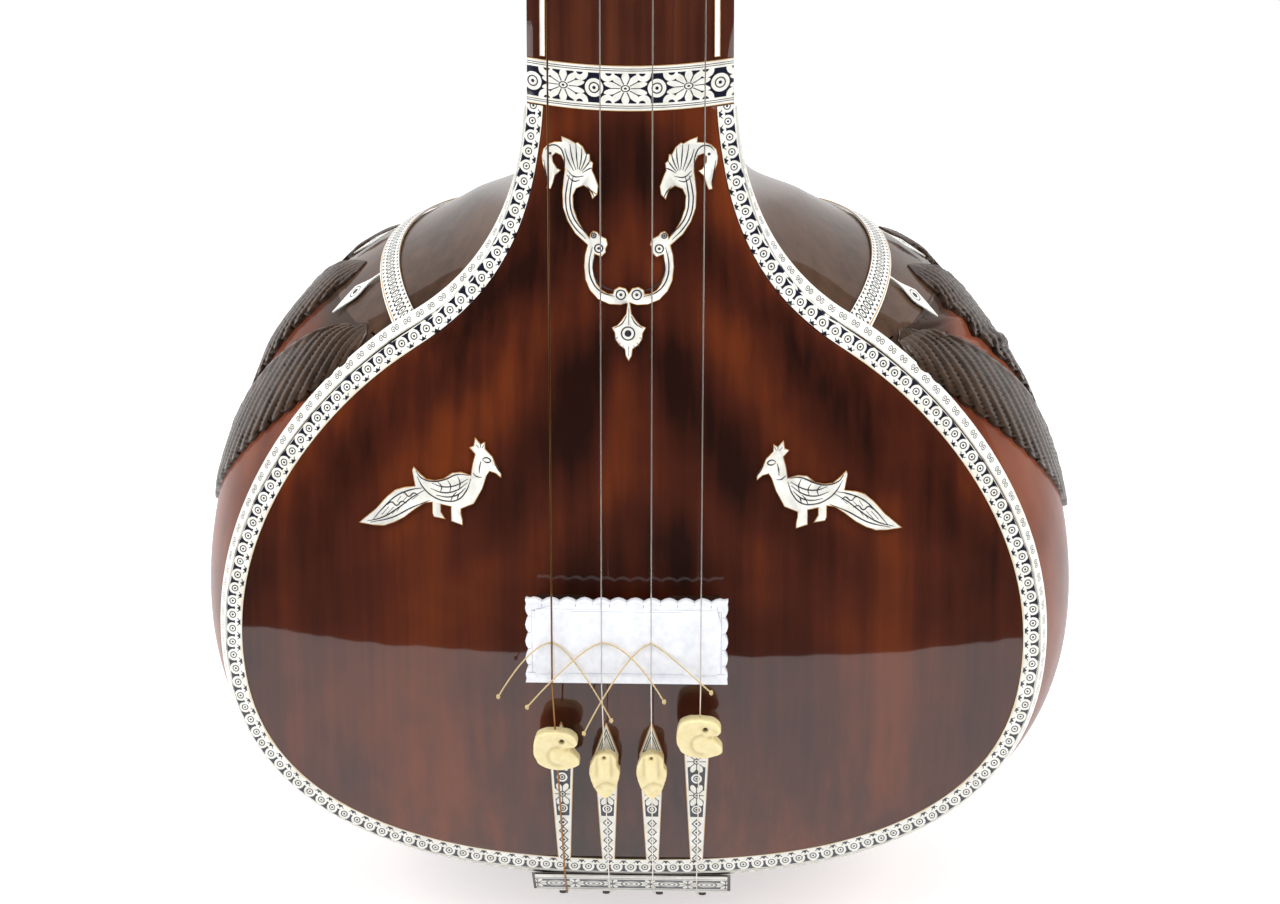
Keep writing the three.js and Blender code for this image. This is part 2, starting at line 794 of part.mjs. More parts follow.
// A place on the shoulder at any radius from the throat's axis
function shoulderStation(side, radius) {
  if (radius >= throatRadius) return 1 + (radius - throatRadius) / (jointRadius(side) - throatRadius);
  return bisect(0, 1, (t) => {
    const p = throatPoint(side, t);
    return Math.hypot(p.x, p.y - throatAxisDepth) < radius;
  });
}

// Carved leaves: feather-shaped lobes that run from the throat over the gourd
const leafRowShares = [0, 0.06, 0.15, 0.27, 0.4, 0.53, 0.65, 0.77, 0.88, 1];
const leafWidthShares = [
  [0, 0.14], [0.05, 0.35], [0.11, 0.52], [0.21, 0.74], [0.3, 0.88], [0.42, 0.99], [0.52, 1], [0.64, 0.97],
  [0.76, 0.82], [0.89, 0.48], [1, 0.04],
];

function shareAt(table, t) {
  const next = clamp(table.findIndex((row) => row[0] >= t), 1, table.length - 1);
  const [a, b] = [table[next - 1], table[next]];
  return mix(a[1], b[1], (t - a[0]) / (b[0] - a[0]));
}

// The body's surface in a direction from the throat's axis at belly height
function bodyAlong(plan, lean) {
  const out = point(Math.sin(lean) * Math.cos(plan), Math.sin(lean) * Math.sin(plan), Math.cos(lean));
  return gourdAlong(point(0, throatAxisDepth, bellyHeight), out);
}

function leaf(plan) {
  const x = leafStartRadius * Math.cos(plan);
  const y = throatAxisDepth + leafStartRadius * Math.sin(plan);
  const startLean = Math.atan2(leafStartRadius, surfaceHeight(x, y) - bellyHeight);
  const centre = (v) => plan - leafSweepShare * (plan - Math.PI / 2) * v ** leafSweepPower;
  const surface = (v, w) => {
    const lean = mix(startLean, leafEndAngle * degree, v);
    const middle = bodyAlong(centre(v), lean);
    const radius = Math.hypot(middle.x, middle.y - throatAxisDepth);
    const swing = w * leafHalfWidth * shareAt(leafWidthShares, v) / radius;
    return bodyAlong(centre(v) + swing, lean + leafBaseRound * (1 - v) * Math.abs(swing));
  };
  const columns = steps(6).map((t) => 2 * t - 1);
  const bulge = (v, w, k) => {
    const rim = mix(leafEdgeShare, 1, Math.sqrt(Math.max(0, 1 - w * w)));
    const groove = k % 2 === 1 ? leafGroove * Math.sin(Math.PI * clamp(v, 0, 1)) : 0;
    return leafSeat + leafThickness * rim * mix(1, leafTipShare, v) - groove;
  };
  const turned = (v, w, distance) => offPoint(surface, v, w, distance, -1);
  const top = leafRowShares.map((v) => columns.map((w, k) => turned(v, w, bulge(v, w, k))));
  const bottom = leafRowShares.map((v) => columns.map((w) => turned(v, w, leafSeat)));
  return gridSolid(top, bottom);
}

const leafPlans = steps(leafCount - 1).map((t) => Math.PI / 2 + (t - 0.5) * leafSpreadAngle * degree);
leafPlans.forEach((plan, i) => add(body, `leaf_${i + 1}`, leaf(plan), throatLacquer));

// Throat band: the crescent over the shoulders, with an eye on a short stem between each two leaves
function throatCrescent() {
  const inner = throatBandRadius - throatBandWidth / 2;
  const depth = clearance * 2 + sideBindingWidth;
  const turnOf = (t, radius, end) => planAngle(t, radius, end) - Math.PI / 2;
  const sideAt = (t, radius) => turnOf(t, radius, depth) / turnOf(1, radius, 0);
  const layer = (lift) => steps(40).map((t) => steps(2).map((v) => {
    const radius = inner + v * throatBandWidth;
    const side = sideAt(2 * t - 1, radius);
    return offThroat(side, shoulderStation(side, radius), lift);
  }));
  return gridSolid(layer(clearance + inlayThickness), layer(clearance));
}

const eyeShares = [[0, 0.1], [0.24, 0.1], [0.4, 0.6], [0.54, 1], [0.7, 0.66], [1, 0.04]];

function eyeOnStem(plan) {
  const layer = (lift) => eyeShares.map(([t, share]) => [-1, 0, 1].map((w) => {
    const radius = eyeRadius + (t - 0.5) * eyeLength;
    const swing = plan + w * share * eyeWidth / 2 / radius;
    const side = (swing - Math.PI / 2) / (planAngle(1, radius) - Math.PI / 2);
    return offThroat(side, shoulderStation(side, radius), lift);
  }));
  return gridSolid(layer(clearance + inlayThickness - eyeSink), layer(clearance + eyeSink));
}

const eyes = leafPlans.slice(1).map((plan, i) => eyeOnStem((plan + leafPlans[i]) / 2));
add(body, "throat_band", join(throatCrescent(), ...eyes), inlayIvory);

// Flat inlays are cut as outlines and then laid on the crowned soundboard
function flatOutline(points) {
  const shape = new THREE.Shape(points.map(([x, z]) => new THREE.Vector2(x, z)));
  return new THREE.ExtrudeGeometry(shape, { depth: inlayThickness, bevelEnabled: false });
}

function layOnBoard(flat) {
  const geometry = new TessellateModifier(inlayMesh, 8).modify(flat.index ? flat.toNonIndexed() : flat);
  const place = geometry.attributes.position;
  for (let i = 0; i < place.count; i++) {
    const p = onBoard(place.getX(i), place.getY(i), clearance + place.getZ(i));
    place.setXYZ(i, p.x, p.y, p.z);
  }
  return weld(geometry);
}

// Scroll ornament: a hooked head with a fan crest on a curled stem, twice, and a pendant
const scrollArmShares = [
  [-0.77, 1], [-0.765, 0.976], [-0.85, 0.974], [-0.92, 0.963], [-0.98, 0.94], [-1, 0.908], [-0.99, 0.875],
  [-0.955, 0.838], [-0.93, 0.79], [-0.94, 0.764], [-0.895, 0.763], [-0.865, 0.79], [-0.843, 0.823],
  [-0.775, 0.849], [-0.82, 0.856], [-0.867, 0.886], [-0.87, 0.91], [-0.834, 0.924], [-0.775, 0.915],
  [-0.74, 0.89], [-0.73, 0.853], [-0.747, 0.8], [-0.76, 0.75], [-0.752, 0.683], [-0.7, 0.624], [-0.61, 0.569],
  [-0.47, 0.52], [-0.5, 0.477], [-0.51, 0.425], [-0.494, 0.363], [-0.44, 0.315], [-0.35, 0.278], [-0.22, 0.256],
  [-0.09, 0.254], [0.01, 0.267], [0.01, 0.3], [-0.035, 0.328], [-0.11, 0.335], [-0.168, 0.322], [-0.18, 0.303],
  [-0.24, 0.304], [-0.312, 0.32], [-0.364, 0.348], [-0.396, 0.385], [-0.405, 0.433], [-0.39, 0.48],
  [-0.312, 0.468], [-0.262, 0.488], [-0.262, 0.505], [-0.238, 0.525], [-0.257, 0.549], [-0.33, 0.564],
  [-0.359, 0.578], [-0.405, 0.584], [-0.44, 0.569], [-0.45, 0.552], [-0.516, 0.584], [-0.58, 0.628],
  [-0.63, 0.683], [-0.636, 0.738], [-0.6, 0.77], [-0.516, 0.784], [-0.45, 0.768], [-0.414, 0.724],
  [-0.359, 0.746], [-0.346, 0.783], [-0.386, 0.827], [-0.416, 0.853], [-0.405, 0.886], [-0.44, 0.897],
  [-0.445, 0.924], [-0.482, 0.926], [-0.52, 0.956], [-0.58, 0.976], [-0.61, 0.972], [-0.68, 0.987],
];
const pendantShares = [
  [0.012, 0.275], [0.03, 0.215], [0.085, 0.183], [0.135, 0.161], [0.195, 0.152], [0.16, 0.127], [0.155, 0.1],
  [0.11, 0.073], [0.045, 0.055], [0.035, 0.024], [0, 0],
];

function scrollOrnament() {
  const scrollTip = throatTop - scrollDrop;
  const placed = ([x, z], sign) => [sign * x * scrollHalfWidth, scrollTip + z * scrollHeight];
  const scaled = (shares, sign) => shares.map((share) => placed(share, sign));
  const left = flatOutline(scaled(scrollArmShares, 1));
  const right = flatOutline(scaled(scrollArmShares, -1));
  const mirrored = scaled(pendantShares, -1).slice(0, -1).reverse();
  const pendant = flatOutline([...scaled(pendantShares, 1), ...mirrored]);
  return layOnBoard(join(left, right, pendant));
}

add(instrument, "scroll_ornament", scrollOrnament(), inlayIvory);

// Peacocks, one on each side, facing the strings
const peacockShares = [
  [0, 0.02], [0.12, 0.18], [0.2, 0.32], [0.26, 0.4], [0.32, 0.43], [0.4, 0.45], [0.38, 0.62], [0.39, 0.66],
  [0.44, 0.58], [0.48, 0.53], [0.54, 0.52], [0.6, 0.54], [0.66, 0.61], [0.72, 0.62], [0.79, 0.59], [0.8, 0.7],
  [0.82, 0.82], [0.78, 0.89], [0.81, 0.91], [0.82, 1], [0.86, 0.93], [0.89, 0.96], [0.89, 0.88], [0.94, 0.8],
  [0.96, 0.72], [1, 0.62], [1, 0.57], [0.96, 0.62], [0.92, 0.64], [0.9, 0.59], [0.87, 0.45], [0.81, 0.28],
  [0.72, 0.22], [0.72, 0.17], [0.73, 0.1], [0.73, 0.04], [0.65, 0.08], [0.65, 0.24], [0.58, 0.26], [0.58, 0.18],
  [0.61, 0.1], [0.53, 0.12], [0.52, 0.16], [0.52, 0.28], [0.47, 0.27], [0.4, 0.2], [0.32, 0.1], [0.25, 0.04],
  [0.18, 0], [0.1, 0],
];

function peacock(sign) {
  const outline = peacockShares.map(([x, z]) => [
    sign * (peacockBeak + (1 - x) * peacockLength),
    bellyHeight + peacockRise + z * peacockHeight,
  ]);
  return layOnBoard(flatOutline(outline));
}

add(instrument, "peacock_left", peacock(-1), inlayIvory);
add(instrument, "peacock_right", peacock(1), inlayIvory);

// White strips along both edges of the neck cover
function neckStrip(sign) {
  const rows = steps(3).map((t) => mix(collarHigh + 2 * clearance, nutLevel - nutThickness, t));
  const layer = (lift) => rows.map((z) => steps(1).map((v) => {
    const x = sign * (halfWidthAt(z) - neckStripInset + v * neckStripWidth);
    return onBoard(x, z, lift);
  }));
  return gridSolid(layer(clearance + inlayThickness), layer(clearance));
}

add(instrument, "neck_strip_left", neckStrip(-1), inlayIvory);
add(instrument, "neck_strip_right", neckStrip(1), inlayIvory);

// Strings are numbered 1 to 4 from the left
const stringSide = (i) => i - 1.5;
const stringDiameters = [brassDiameter, steelDiameter, steelDiameter, steelDiameter];

// Tapered inlay strips in front of the tailpiece, one under each string
const stripFoot = bellyHeight - rimDrop + bindingWidth + 2 * clearance;
const stripTop = mix(rimFoot, bridgeLevel, stripTopShare);

function tailStrip(i) {
  const x = stringSide(i) * tailSpacing;
  const shoulder = stripTop - stripPoint;
  const rows = [
    ...steps(3).map((t) => [mix(stripFoot, shoulder, t), mix(stripFootWidth, stripTopWidth, t)]),
    [stripTop, stripTipWidth],
  ];
  const across = (z, width, lift) => [-0.5, 0, 0.5].map((w) => onBoard(x + w * width, z, lift));
  const layer = (lift) => rows.map(([z, width]) => across(z, width, lift));
  return gridSolid(layer(clearance + inlayThickness), layer(clearance));
}

for (let i = 0; i < 4; i++) add(instrument, `tail_strip_${i + 1}`, tailStrip(i), inlayIvory);

// Bridge: a wooden base with two feet and an arch, and a scalloped plate on it
const plateTop = -crownHeight(0, bridgeLevel) - bridgeStand;

function bridgeBase() {
  const half = bridgeLength / 2 - bridgeBaseInset;
  const inner = half - footLength;
  const stations = [-half, mix(-half, -inner, 0.5), -inner, -inner, mix(-inner, 0, 0.5), 0,
    mix(inner, 0, 0.5), inner, inner, mix(half, inner, 0.5), half];
  const levels = steps(4).map((v) => bridgeLevel + (v - 0.5) * (bridgeWidth - 2 * bridgeBaseInset));
  const top = plateTop + plateThickness + clearance;
  const face = stations.map((x) => levels.map((z) => point(x, top, z)));
  const back = stations.map((x, k) => levels.map((z) => {
    const arched = k > 2 && k < 8;
    const rise = arched ? archHeight * Math.sqrt(Math.max(archEndShare, 1 - (x / inner) ** 2)) : 0;
    return onBoard(x, z, clearance + rise);
  }));
  return gridSolid(face, back);
}

const scallopShares = [[0, 1], [0.25, 0.3], [0.5, 0], [0.75, 0.3]];

function bridgePlate() {
  const half = new THREE.Vector2(bridgeLength / 2, bridgeWidth / 2);
  const outline = [];
  const corners = [[-1, -1], [1, -1], [1, 1], [-1, 1]];
  corners.forEach(([u, v], k) => {
    const [nu, nv] = corners[(k + 1) % 4];
    const from = new THREE.Vector2(u * half.x, v * half.y);
    const to = new THREE.Vector2(nu * half.x, nv * half.y);
    const inward = new THREE.Vector2(-(to.y - from.y), to.x - from.x).normalize();
    const count = k === 0 ? 1 : Math.round(from.distanceTo(to) / scallopPitch);
    for (let i = 0; i < count; i++) {
      const notches = k === 0 ? [[0, 0]] : scallopShares;
      notches.forEach(([t, share]) => {
        const depth = i + t === 0 ? 0 : share * scallopDepth;
        outline.push(from.clone().lerp(to, (i + t) / count).addScaledVector(inward, depth));
      });
    }
  });
  const depth = plateThickness - plateLipDepth;
  const plate = new THREE.ExtrudeGeometry(new THREE.Shape(outline), { depth, bevelEnabled: false });
  plate.rotateX(Math.PI / 2);
  plate.translate(0, plateTop + plateThickness, bridgeLevel);
  const panelLength = bridgeLength - 2 * plateLip;
  const panelWidth = bridgeWidth - 2 * plateLip;
  const panel = new THREE.BoxGeometry(panelLength, plateThickness, panelWidth);
  panel.translate(0, plateTop + plateThickness / 2, bridgeLevel);
  return join(plate, panel);
}

add(instrument, "bridge_base", bridgeBase(), pegWood);
add(instrument, "bridge_plate", bridgePlate(), plateWhite);

// Tailpiece: a wedge under the tail end of the rim, with an inlaid facing and four posts
const tailAngle = tailFaceAngle * degree;
const tailHead = point(0, tailTopGap, bellyHeight - rimDrop - tailTopGap);
const tailSlope = point(0, Math.sin(tailAngle), -Math.cos(tailAngle));
const tailCorner = tailHead.clone().addScaledVector(tailSlope, tailFace);
const tailEnd = tailCorner.y + tailFoot;
const postDepth = tailCorner.y + tailFoot / 2;

function underGourd(depth, gap) {
  const p = offGourd(-Math.PI / 2, turnAtDepth(-Math.PI / 2, depth), gap);
  return [p.y + seatDepth, p.z];
}

const postPlace = (i) => {
  const offset = postRadius + clearance + stringDiameters[i] / 2;
  return point(stringSide(i) * tailSpacing + Math.sign(stringSide(i)) * offset, postDepth, tailCorner.z);
};

function tailpiece() {
  const past = sideBindingWidth + 3 * clearance;
  const overBinding = sideBindingLift + sideBindingThickness + clearance;
  const inner = [
    ...steps(3).map((t) => underGourd(mix(tailEnd, past, t), clearance)),
    ...steps(2).map((t) => underGourd(mix(past - clearance, 0, t), overBinding)),
  ];
  const profile = [
    [tailHead.y, tailHead.z],
    [tailCorner.y, tailCorner.z],
    [tailEnd, tailCorner.z],
    ...inner.filter(([, z]) => z > tailCorner.z),
  ];
  const shape = new THREE.Shape(profile.map(([y, z]) => new THREE.Vector2(y, z)));
  const wedge = new THREE.ExtrudeGeometry(shape, { depth: 2 * tailHalfLength, bevelEnabled: false });
  wedge.applyMatrix4(new THREE.Matrix4().makeBasis(point(0, 1, 0), point(0, 0, 1), point(1, 0, 0)));
  wedge.translate(-tailHalfLength, 0, 0);
  const posts = [0, 1, 2, 3].map((i) => {
    const post = new THREE.CylinderGeometry(postRadius, postRadius, postLength + overrun / 2, 12);
    post.rotateX(Math.PI / 2);
    post.translate(postPlace(i).x, postDepth, tailCorner.z - postLength / 2 + overrun / 4);
    return post;
  });
  return join(wedge, ...posts);
}

function tailFacing() {
  const width = tailFace - 2 * facingInset;
  const facing = new THREE.BoxGeometry(2 * (tailHalfLength - facingInset), facingThickness, width);
  facing.translate(0, -facingThickness / 2 - clearance, 0);
  facing.rotateX(tailAngle);
  facing.translate(0, (tailHead.y + tailCorner.y) / 2, (tailHead.z + tailCorner.z) / 2);
  return weld(facing);
}

add(instrument, "tailpiece", tailpiece(), pegWood);
add(instrument, "tailpiece_facing", tailFacing(), inlayIvory);

// Nut and string guide across the neck cover
function barOnCover(z, thickness, stand) {
  const half = halfWidthAt(z) - neckStripInset + neckStripWidth;
  const top = -crownAt(z) - stand;
  const line = steps(10).map((t) => (2 * t - 1) * half);
  const shape = new THREE.Shape([
    new THREE.Vector2(-half, top + stand / 2),
    new THREE.Vector2(-half + stand / 2, top),
    new THREE.Vector2(half - stand / 2, top),
    new THREE.Vector2(half, top + stand / 2),
    ...line.reverse().map((x) => new THREE.Vector2(x, -crownHeight(x, z) - clearance)),
  ]);
  return { shape, top, z, thickness };
}

function extrudeBar({ shape, z, thickness }) {
  const options = { depth: thickness, bevelEnabled: false, curveSegments: holeSegments };
  const bar = new THREE.ExtrudeGeometry(shape, options);
  bar.translate(0, 0, z);
  return bar;
}

const nutBar = barOnCover(nutLevel - nutThickness, nutThickness, nutStand);
const nutTop = nutBar.top;
const guideBar = barOnCover(nutLevel + guideDistance, guideThickness, guideStand);
const guideLevel = guideBar.top + guideStand / 2;
for (let i = 0; i < 4; i++) {
  const hole = new THREE.Path();
  hole.absarc(stringSide(i) * guideSpacing, guideLevel, guideHoleRadius, 0, 2 * Math.PI, true);
  guideBar.shape.holes.push(hole);
}
add(instrument, "nut", weld(extrudeBar(nutBar)), inlayIvory);
add(instrument, "string_guide", weld(extrudeBar(guideBar)), inlayIvory);

// Tuning pegs: two through the sides of the head and two into its front
const isSidePeg = (i) => i === 0 || i === 3;
const sidePegLevels = [neckTop + firstPegDistance, neckTop + firstPegDistance + sidePegPitch];
const frontPegLevels = [neckTop + frontPegDistance, neckTop + frontPegDistance + frontPegPitch];
const windingGap = (i) => stringDiameters[i] + 2 * clearance;
const frontPegX = (sign) => sign * (nutSpacing / 2 + pegShaftRadius + windingGap(1) / 2 + frontPegGap);

const pegKnobShares = [
  [0.3, 0], [0.52, 0.05], [0.46, 0.11], [0.34, 0.15], [0.66, 0.24], [0.93, 0.38], [1, 0.54], [0.92, 0.7],
  [0.64, 0.84], [0.34, 0.92], [0.2, 0.95], [0.16, 0.985], [0, 1],
];

// A peg along +Y: the tip at the start, the knob after the shaft
function pegGeometry(shaftLength) {
  const profile = [
    [0, 0],
    [pegTipRadius - clearance, 0],
    [pegTipRadius, 2 * clearance],
    [pegShaftRadius, shaftLength],
    ...pegKnobShares.map(([r, t]) => [r * pegKnobRadius, shaftLength + t * pegKnobLength]),
  ];
  return weld(new THREE.LatheGeometry(profile.map(([r, t]) => new THREE.Vector2(r, t)), pegSides));
}

function pegBore(shaftLength) {
  const slope = (pegShaftRadius - pegTipRadius) / shaftLength;
  const low = pegTipRadius + clearance - slope * clearance;
  const high = pegShaftRadius + clearance + slope * overrun;
  const end = shaftLength + overrun;
  const profile = [[0, -clearance], [low, -clearance], [high, end], [0, end]];
  return weld(new THREE.LatheGeometry(profile.map(([r, t]) => new THREE.Vector2(r, t)), pegSides));
}

const sidePegTip = headHalfWidth - channelWall / 2;
const channelHalfWidth = headHalfWidth - channelWall;
const sidePegShaft = 2 * headHalfWidth + pegStandOff;
const frontPegShaft = frontPegSeat + nutCrown + pegStandOff;

// Places a peg: the index follows the strings, and the knob points outwards
function placePeg(geometry, i) {
  if (isSidePeg(i)) {
    const sign = i === 0 ? -1 : 1;
    geometry.rotateZ(-sign * Math.PI / 2);
    geometry.translate(-sign * sidePegTip, sidePegDepth, sidePegLevels[i === 0 ? 0 : 1]);
    return geometry;
  }
  geometry.rotateX(Math.PI);
  geometry.translate(frontPegX(i === 1 ? -1 : 1), frontPegSeat, frontPegLevels[i - 1]);
  return geometry;
}

const pegShaftLength = (i) => (isSidePeg(i) ? sidePegShaft : frontPegShaft);

// Head: solid at the front pegs, with an open channel for the side pegs
function head() {
  const start = neckTop + clearance;
  const rows = [
    [start, 0], [mix(start, headTop, 0.5), 0], [headTop - headRound, 0],
    [headTop - headRound * headRoundShare, headRound * headRoundShare], [headTop, headRound],
  ];
  const sides = steps(16).map((t) => 2 * t - 1);
  const sink = point(0, seatDepth, 0);
  const back = rows.map(([z, inset]) => sides.map((side) => neckPoint(z, side, inset).add(sink)));
  const front = rows.map(([z, inset]) => sides.map((side) => {
    const p = neckPoint(z, side, inset);
    const half = halfWidthAtNeck(z) - inset;
    return point(p.x, -(nutCrown - inset / 2) * (1 - (p.x / half) ** 2), z);
  }));
  const channelTop = 2 * nutCrown;
  const channelFloor = channelDepth - nutCrown / 2;
  const channel = new THREE.BoxGeometry(2 * channelHalfWidth, channelTop + channelFloor, channelLength);
  channel.translate(0, (channelFloor - channelTop) / 2, neckTop + channelStart + channelLength / 2);
  const bores = [0, 1, 2, 3].map((i) => placePeg(pegBore(pegShaftLength(i)), i));
  return cut(gridSolid(front, back), channel, ...bores);
}

add(instrument, "head", head(), neckLacquer);
for (let i = 0; i < 4; i++) {
  add(instrument, `peg_${i + 1}`, placePeg(pegGeometry(pegShaftLength(i)), i), pegWood);
}

// A closed tube along a route, with a section of the given number of sides
function tube(route, diameter, sides) {
  const frames = [];
  let normal = null;
  route.forEach((p, k) => {
    const a = route[Math.max(k - 1, 0)];
    const b = route[Math.min(k + 1, route.length - 1)];
    const along = b.clone().sub(a).normalize();
    if (!normal) normal = Math.abs(along.x) < 0.9 ? point(1, 0, 0) : point(0, 1, 0);
    normal = normal.clone().addScaledVector(along, -normal.dot(along)).normalize();
    frames.push({ p, normal: normal.clone(), side: along.clone().cross(normal) });
  });
  const points = frames.flatMap(({ p, normal: n, side }) => steps(sides).slice(0, sides).map((t) => {
    const turn = 2 * Math.PI * t;
    const out = n.clone().multiplyScalar(Math.cos(turn)).addScaledVector(side, Math.sin(turn));
    return p.clone().addScaledVector(out, diameter / 2);
  }));
  const at = (k, j) => k * sides + (j % sides);
  const faces = [];
  for (let k = 0; k < frames.length - 1; k++) {
    for (let j = 0; j < sides; j++) faces.push([at(k, j), at(k, j + 1), at(k + 1, j + 1), at(k + 1, j)]);
  }
  const cap = Array.from({ length: sides }, (_, j) => j);
  faces.push(cap.map((j) => at(0, j)).reverse(), cap.map((j) => at(frames.length - 1, j)));
  return closedSolid(points, faces);
}

// Windings: each is one unbroken helix on its peg's shaft, just clear of it
const windingPlace = (i) => (isSidePeg(i)
  ? sidePegTip + channelHalfWidth - windingStart - windingCurls * windingPitch
  : pegShaftLength(i) - pegStandOff + windingStart);

function winding(i) {
  const diameter = stringDiameters[i];
  const shaft = pegShaftLength(i);
  const flat = Math.cos(Math.PI / windingSteps);
  const radiusAt = (t) => (mix(pegTipRadius, pegShaftRadius, t / shaft) + clearance + diameter / 2) / flat;
  const start = windingPlace(i);
  const route = steps(windingCurls * windingSteps).map((t) => {
    const along = start + t * windingCurls * windingPitch;
    const turn = 2 * Math.PI * windingCurls * t;
    return point(radiusAt(along) * Math.cos(turn), along, radiusAt(along) * Math.sin(turn));
  });
  return { route, geometry: placePeg(tube(route, diameter, windingSides), i) };
}

let leastGap = Infinity;
for (let i = 0; i < 4; i++) {
  const { route, geometry } = winding(i);
  add(instrument, `winding_${i + 1}`, geometry, i === 0 ? brassWire : steelWire);
  route.forEach((p, a) => route.slice(a + 6).forEach((q) => {
    leastGap = Math.min(leastGap, p.distanceTo(q) - stringDiameters[i]);
  }));
}
console.log(`least gap of a winding to itself: ${leastGap.toFixed(2)} mm`);

// Strings: whole, from the post under the tailpiece to the peg
const facePathShares = [0.97, 0.04];

function stringRoute(i) {
  const diameter = stringDiameters[i];
  const lift = clearance + diameter / 2;
  const tailX = stringSide(i) * tailSpacing;
  const bridgeX = stringSide(i) * bridgeSpacing;
  const nutX = stringSide(i) * nutSpacing;
  const guideX = stringSide(i) * guideSpacing;
  const post = postPlace(i);
  const around = postRadius + lift;
  const away = Math.sign(stringSide(i));
  const postLevel = tailCorner.z - lift - clearance;
  const hook = steps(6).map((t) => {
    const turn = Math.PI * (1 - t);
    return point(post.x - away * around * Math.cos(turn), post.y + around * Math.sin(turn), postLevel);
  });
  const faceLift = facingThickness + clearance + lift;
  const out = point(0, -Math.cos(tailAngle), -Math.sin(tailAngle));
  const onFace = (t) => tailHead.clone().lerp(tailCorner, t).addScaledVector(out, faceLift).setX(tailX);
  const plateLift = plateTop - threadDiameter - 2 * clearance - diameter / 2;
  const plateTail = bridgeLevel - bridgeWidth / 2;
  const plateNeck = bridgeLevel + bridgeWidth / 2;
  const faceTop = onFace(facePathShares[1]);
  return [
    ...hook,
    point(tailX, tailCorner.y + lift, postLevel),
    onFace(facePathShares[0]),
    faceTop,
    point(mix(tailX, bridgeX, 0.5), mix(faceTop.y, plateLift, 0.5), mix(faceTop.z, plateTail, 0.5)),
    point(bridgeX, plateLift, plateTail),
    point(bridgeX, plateLift, plateNeck),
    point(nutX, nutTop - lift, nutLevel - nutThickness),
    point(nutX, nutTop - lift, nutLevel),
    point(guideX, guideLevel, nutLevel + guideDistance),
    point(guideX, guideLevel, nutLevel + guideDistance + guideThickness),
    pegEntry(i),
  ];
}

// Where a string meets its peg: beside the winding, clear of the shaft
function pegEntry(i) {
  const diameter = stringDiameters[i];
  const along = windingPlace(i) - diameter - 2 * clearance;
  const shaft = pegShaftLength(i);
  const radius = mix(pegTipRadius, pegShaftRadius, along / shaft) + 2 * clearance + diameter / 2;
  if (isSidePeg(i)) {
    const sign = i === 0 ? -1 : 1;
    return point(sign * (along - sidePegTip), sidePegDepth - radius, sidePegLevels[i === 0 ? 0 : 1]);
  }
  const sign = i === 1 ? -1 : 1;
  return point(frontPegX(sign) - sign * radius, frontPegSeat - along, frontPegLevels[i - 1]);
}

for (let i = 0; i < 4; i++) {
  const string = tube(stringRoute(i), stringDiameters[i], stringSides);
  add(instrument, `string_${i + 1}`, string, i === 0 ? brassWire : steelWire);
}

// Tuning beads: threaded on the strings between the bridge and the tailpiece
const beadOutlineShares = [
  [-0.42, -0.34], [-0.2, -0.47], [0.02, -0.5], [0.3, -0.46], [0.5, -0.36], [0.5, -0.22], [0.36, -0.06],
  [0.47, 0.06], [0.49, 0.26], [0.36, 0.43], [0.14, 0.5], [-0.12, 0.46], [-0.36, 0.36], [-0.49, 0.14],
  [-0.5, -0.1],
];
const leafOutlineShares = [
  [-0.1, -0.5], [0.12, -0.48], [0.3, -0.4], [0.47, -0.14], [0.5, 0.12], [0.46, 0.32], [0.3, 0.46], [0.06, 0.5],
  [-0.2, 0.46], [-0.34, 0.34], [-0.36, 0.2], [-0.5, 0.14], [-0.5, -0.14], [-0.4, -0.34],
];

function beadPlace(i, level) {
  const route = stringRoute(i);
  const low = route.find((p) => p.z > stripFoot - bindingWidth && p.y < tailHead.y);
  const high = route.find((p) => p.z > bridgeLevel - bridgeWidth && p.y <= plateTop);
  const share = (level - low.z) / (high.z - low.z);
  return { at: low.clone().lerp(high, share), along: high.clone().sub(low).normalize() };
}

function bead(i, levelShare, outline, [width, height, thickness]) {
  const shape = new THREE.Shape(outline.map(([x, z]) => new THREE.Vector2(x * width, z * height)));
  const edge = thickness / 5;
  const solid = new THREE.ExtrudeGeometry(shape, {
    depth: thickness - 2 * edge,
    bevelEnabled: true,
    bevelThickness: edge,
    bevelSize: edge,
    bevelOffset: -edge,
    bevelSegments: 1,
  });
  solid.translate(0, 0, edge - thickness / 2);
  const bore = new THREE.CylinderGeometry(beadBoreRadius, beadBoreRadius, 2 * height, 10);
  const drilled = cut(solid, bore);
  const { at, along } = beadPlace(i, mix(rimFoot, bridgeLevel, levelShare));
  const side = point(1, 0, 0).addScaledVector(along, -along.x).normalize();
  drilled.applyMatrix4(new THREE.Matrix4().makeBasis(side, along, side.clone().cross(along)).setPosition(at));
  return drilled;
}

const swanBeadSize = [beadWidth, beadHeight, beadThickness];
const leafBeadSize = [leafBeadWidth, leafBeadHeight, leafBeadThickness];
const swanBead = (i) => bead(i, swanBeadShares[i === 0 ? 0 : 1], beadOutlineShares, swanBeadSize);
const leafBead = (i) => bead(i, leafBeadShare, leafOutlineShares, leafBeadSize);

add(instrument, "bead_1", swanBead(0), beadCream);
add(instrument, "bead_2", leafBead(1), beadCream);
add(instrument, "bead_3", leafBead(2), beadCream);
add(instrument, "bead_4", swanBead(3), beadCream);

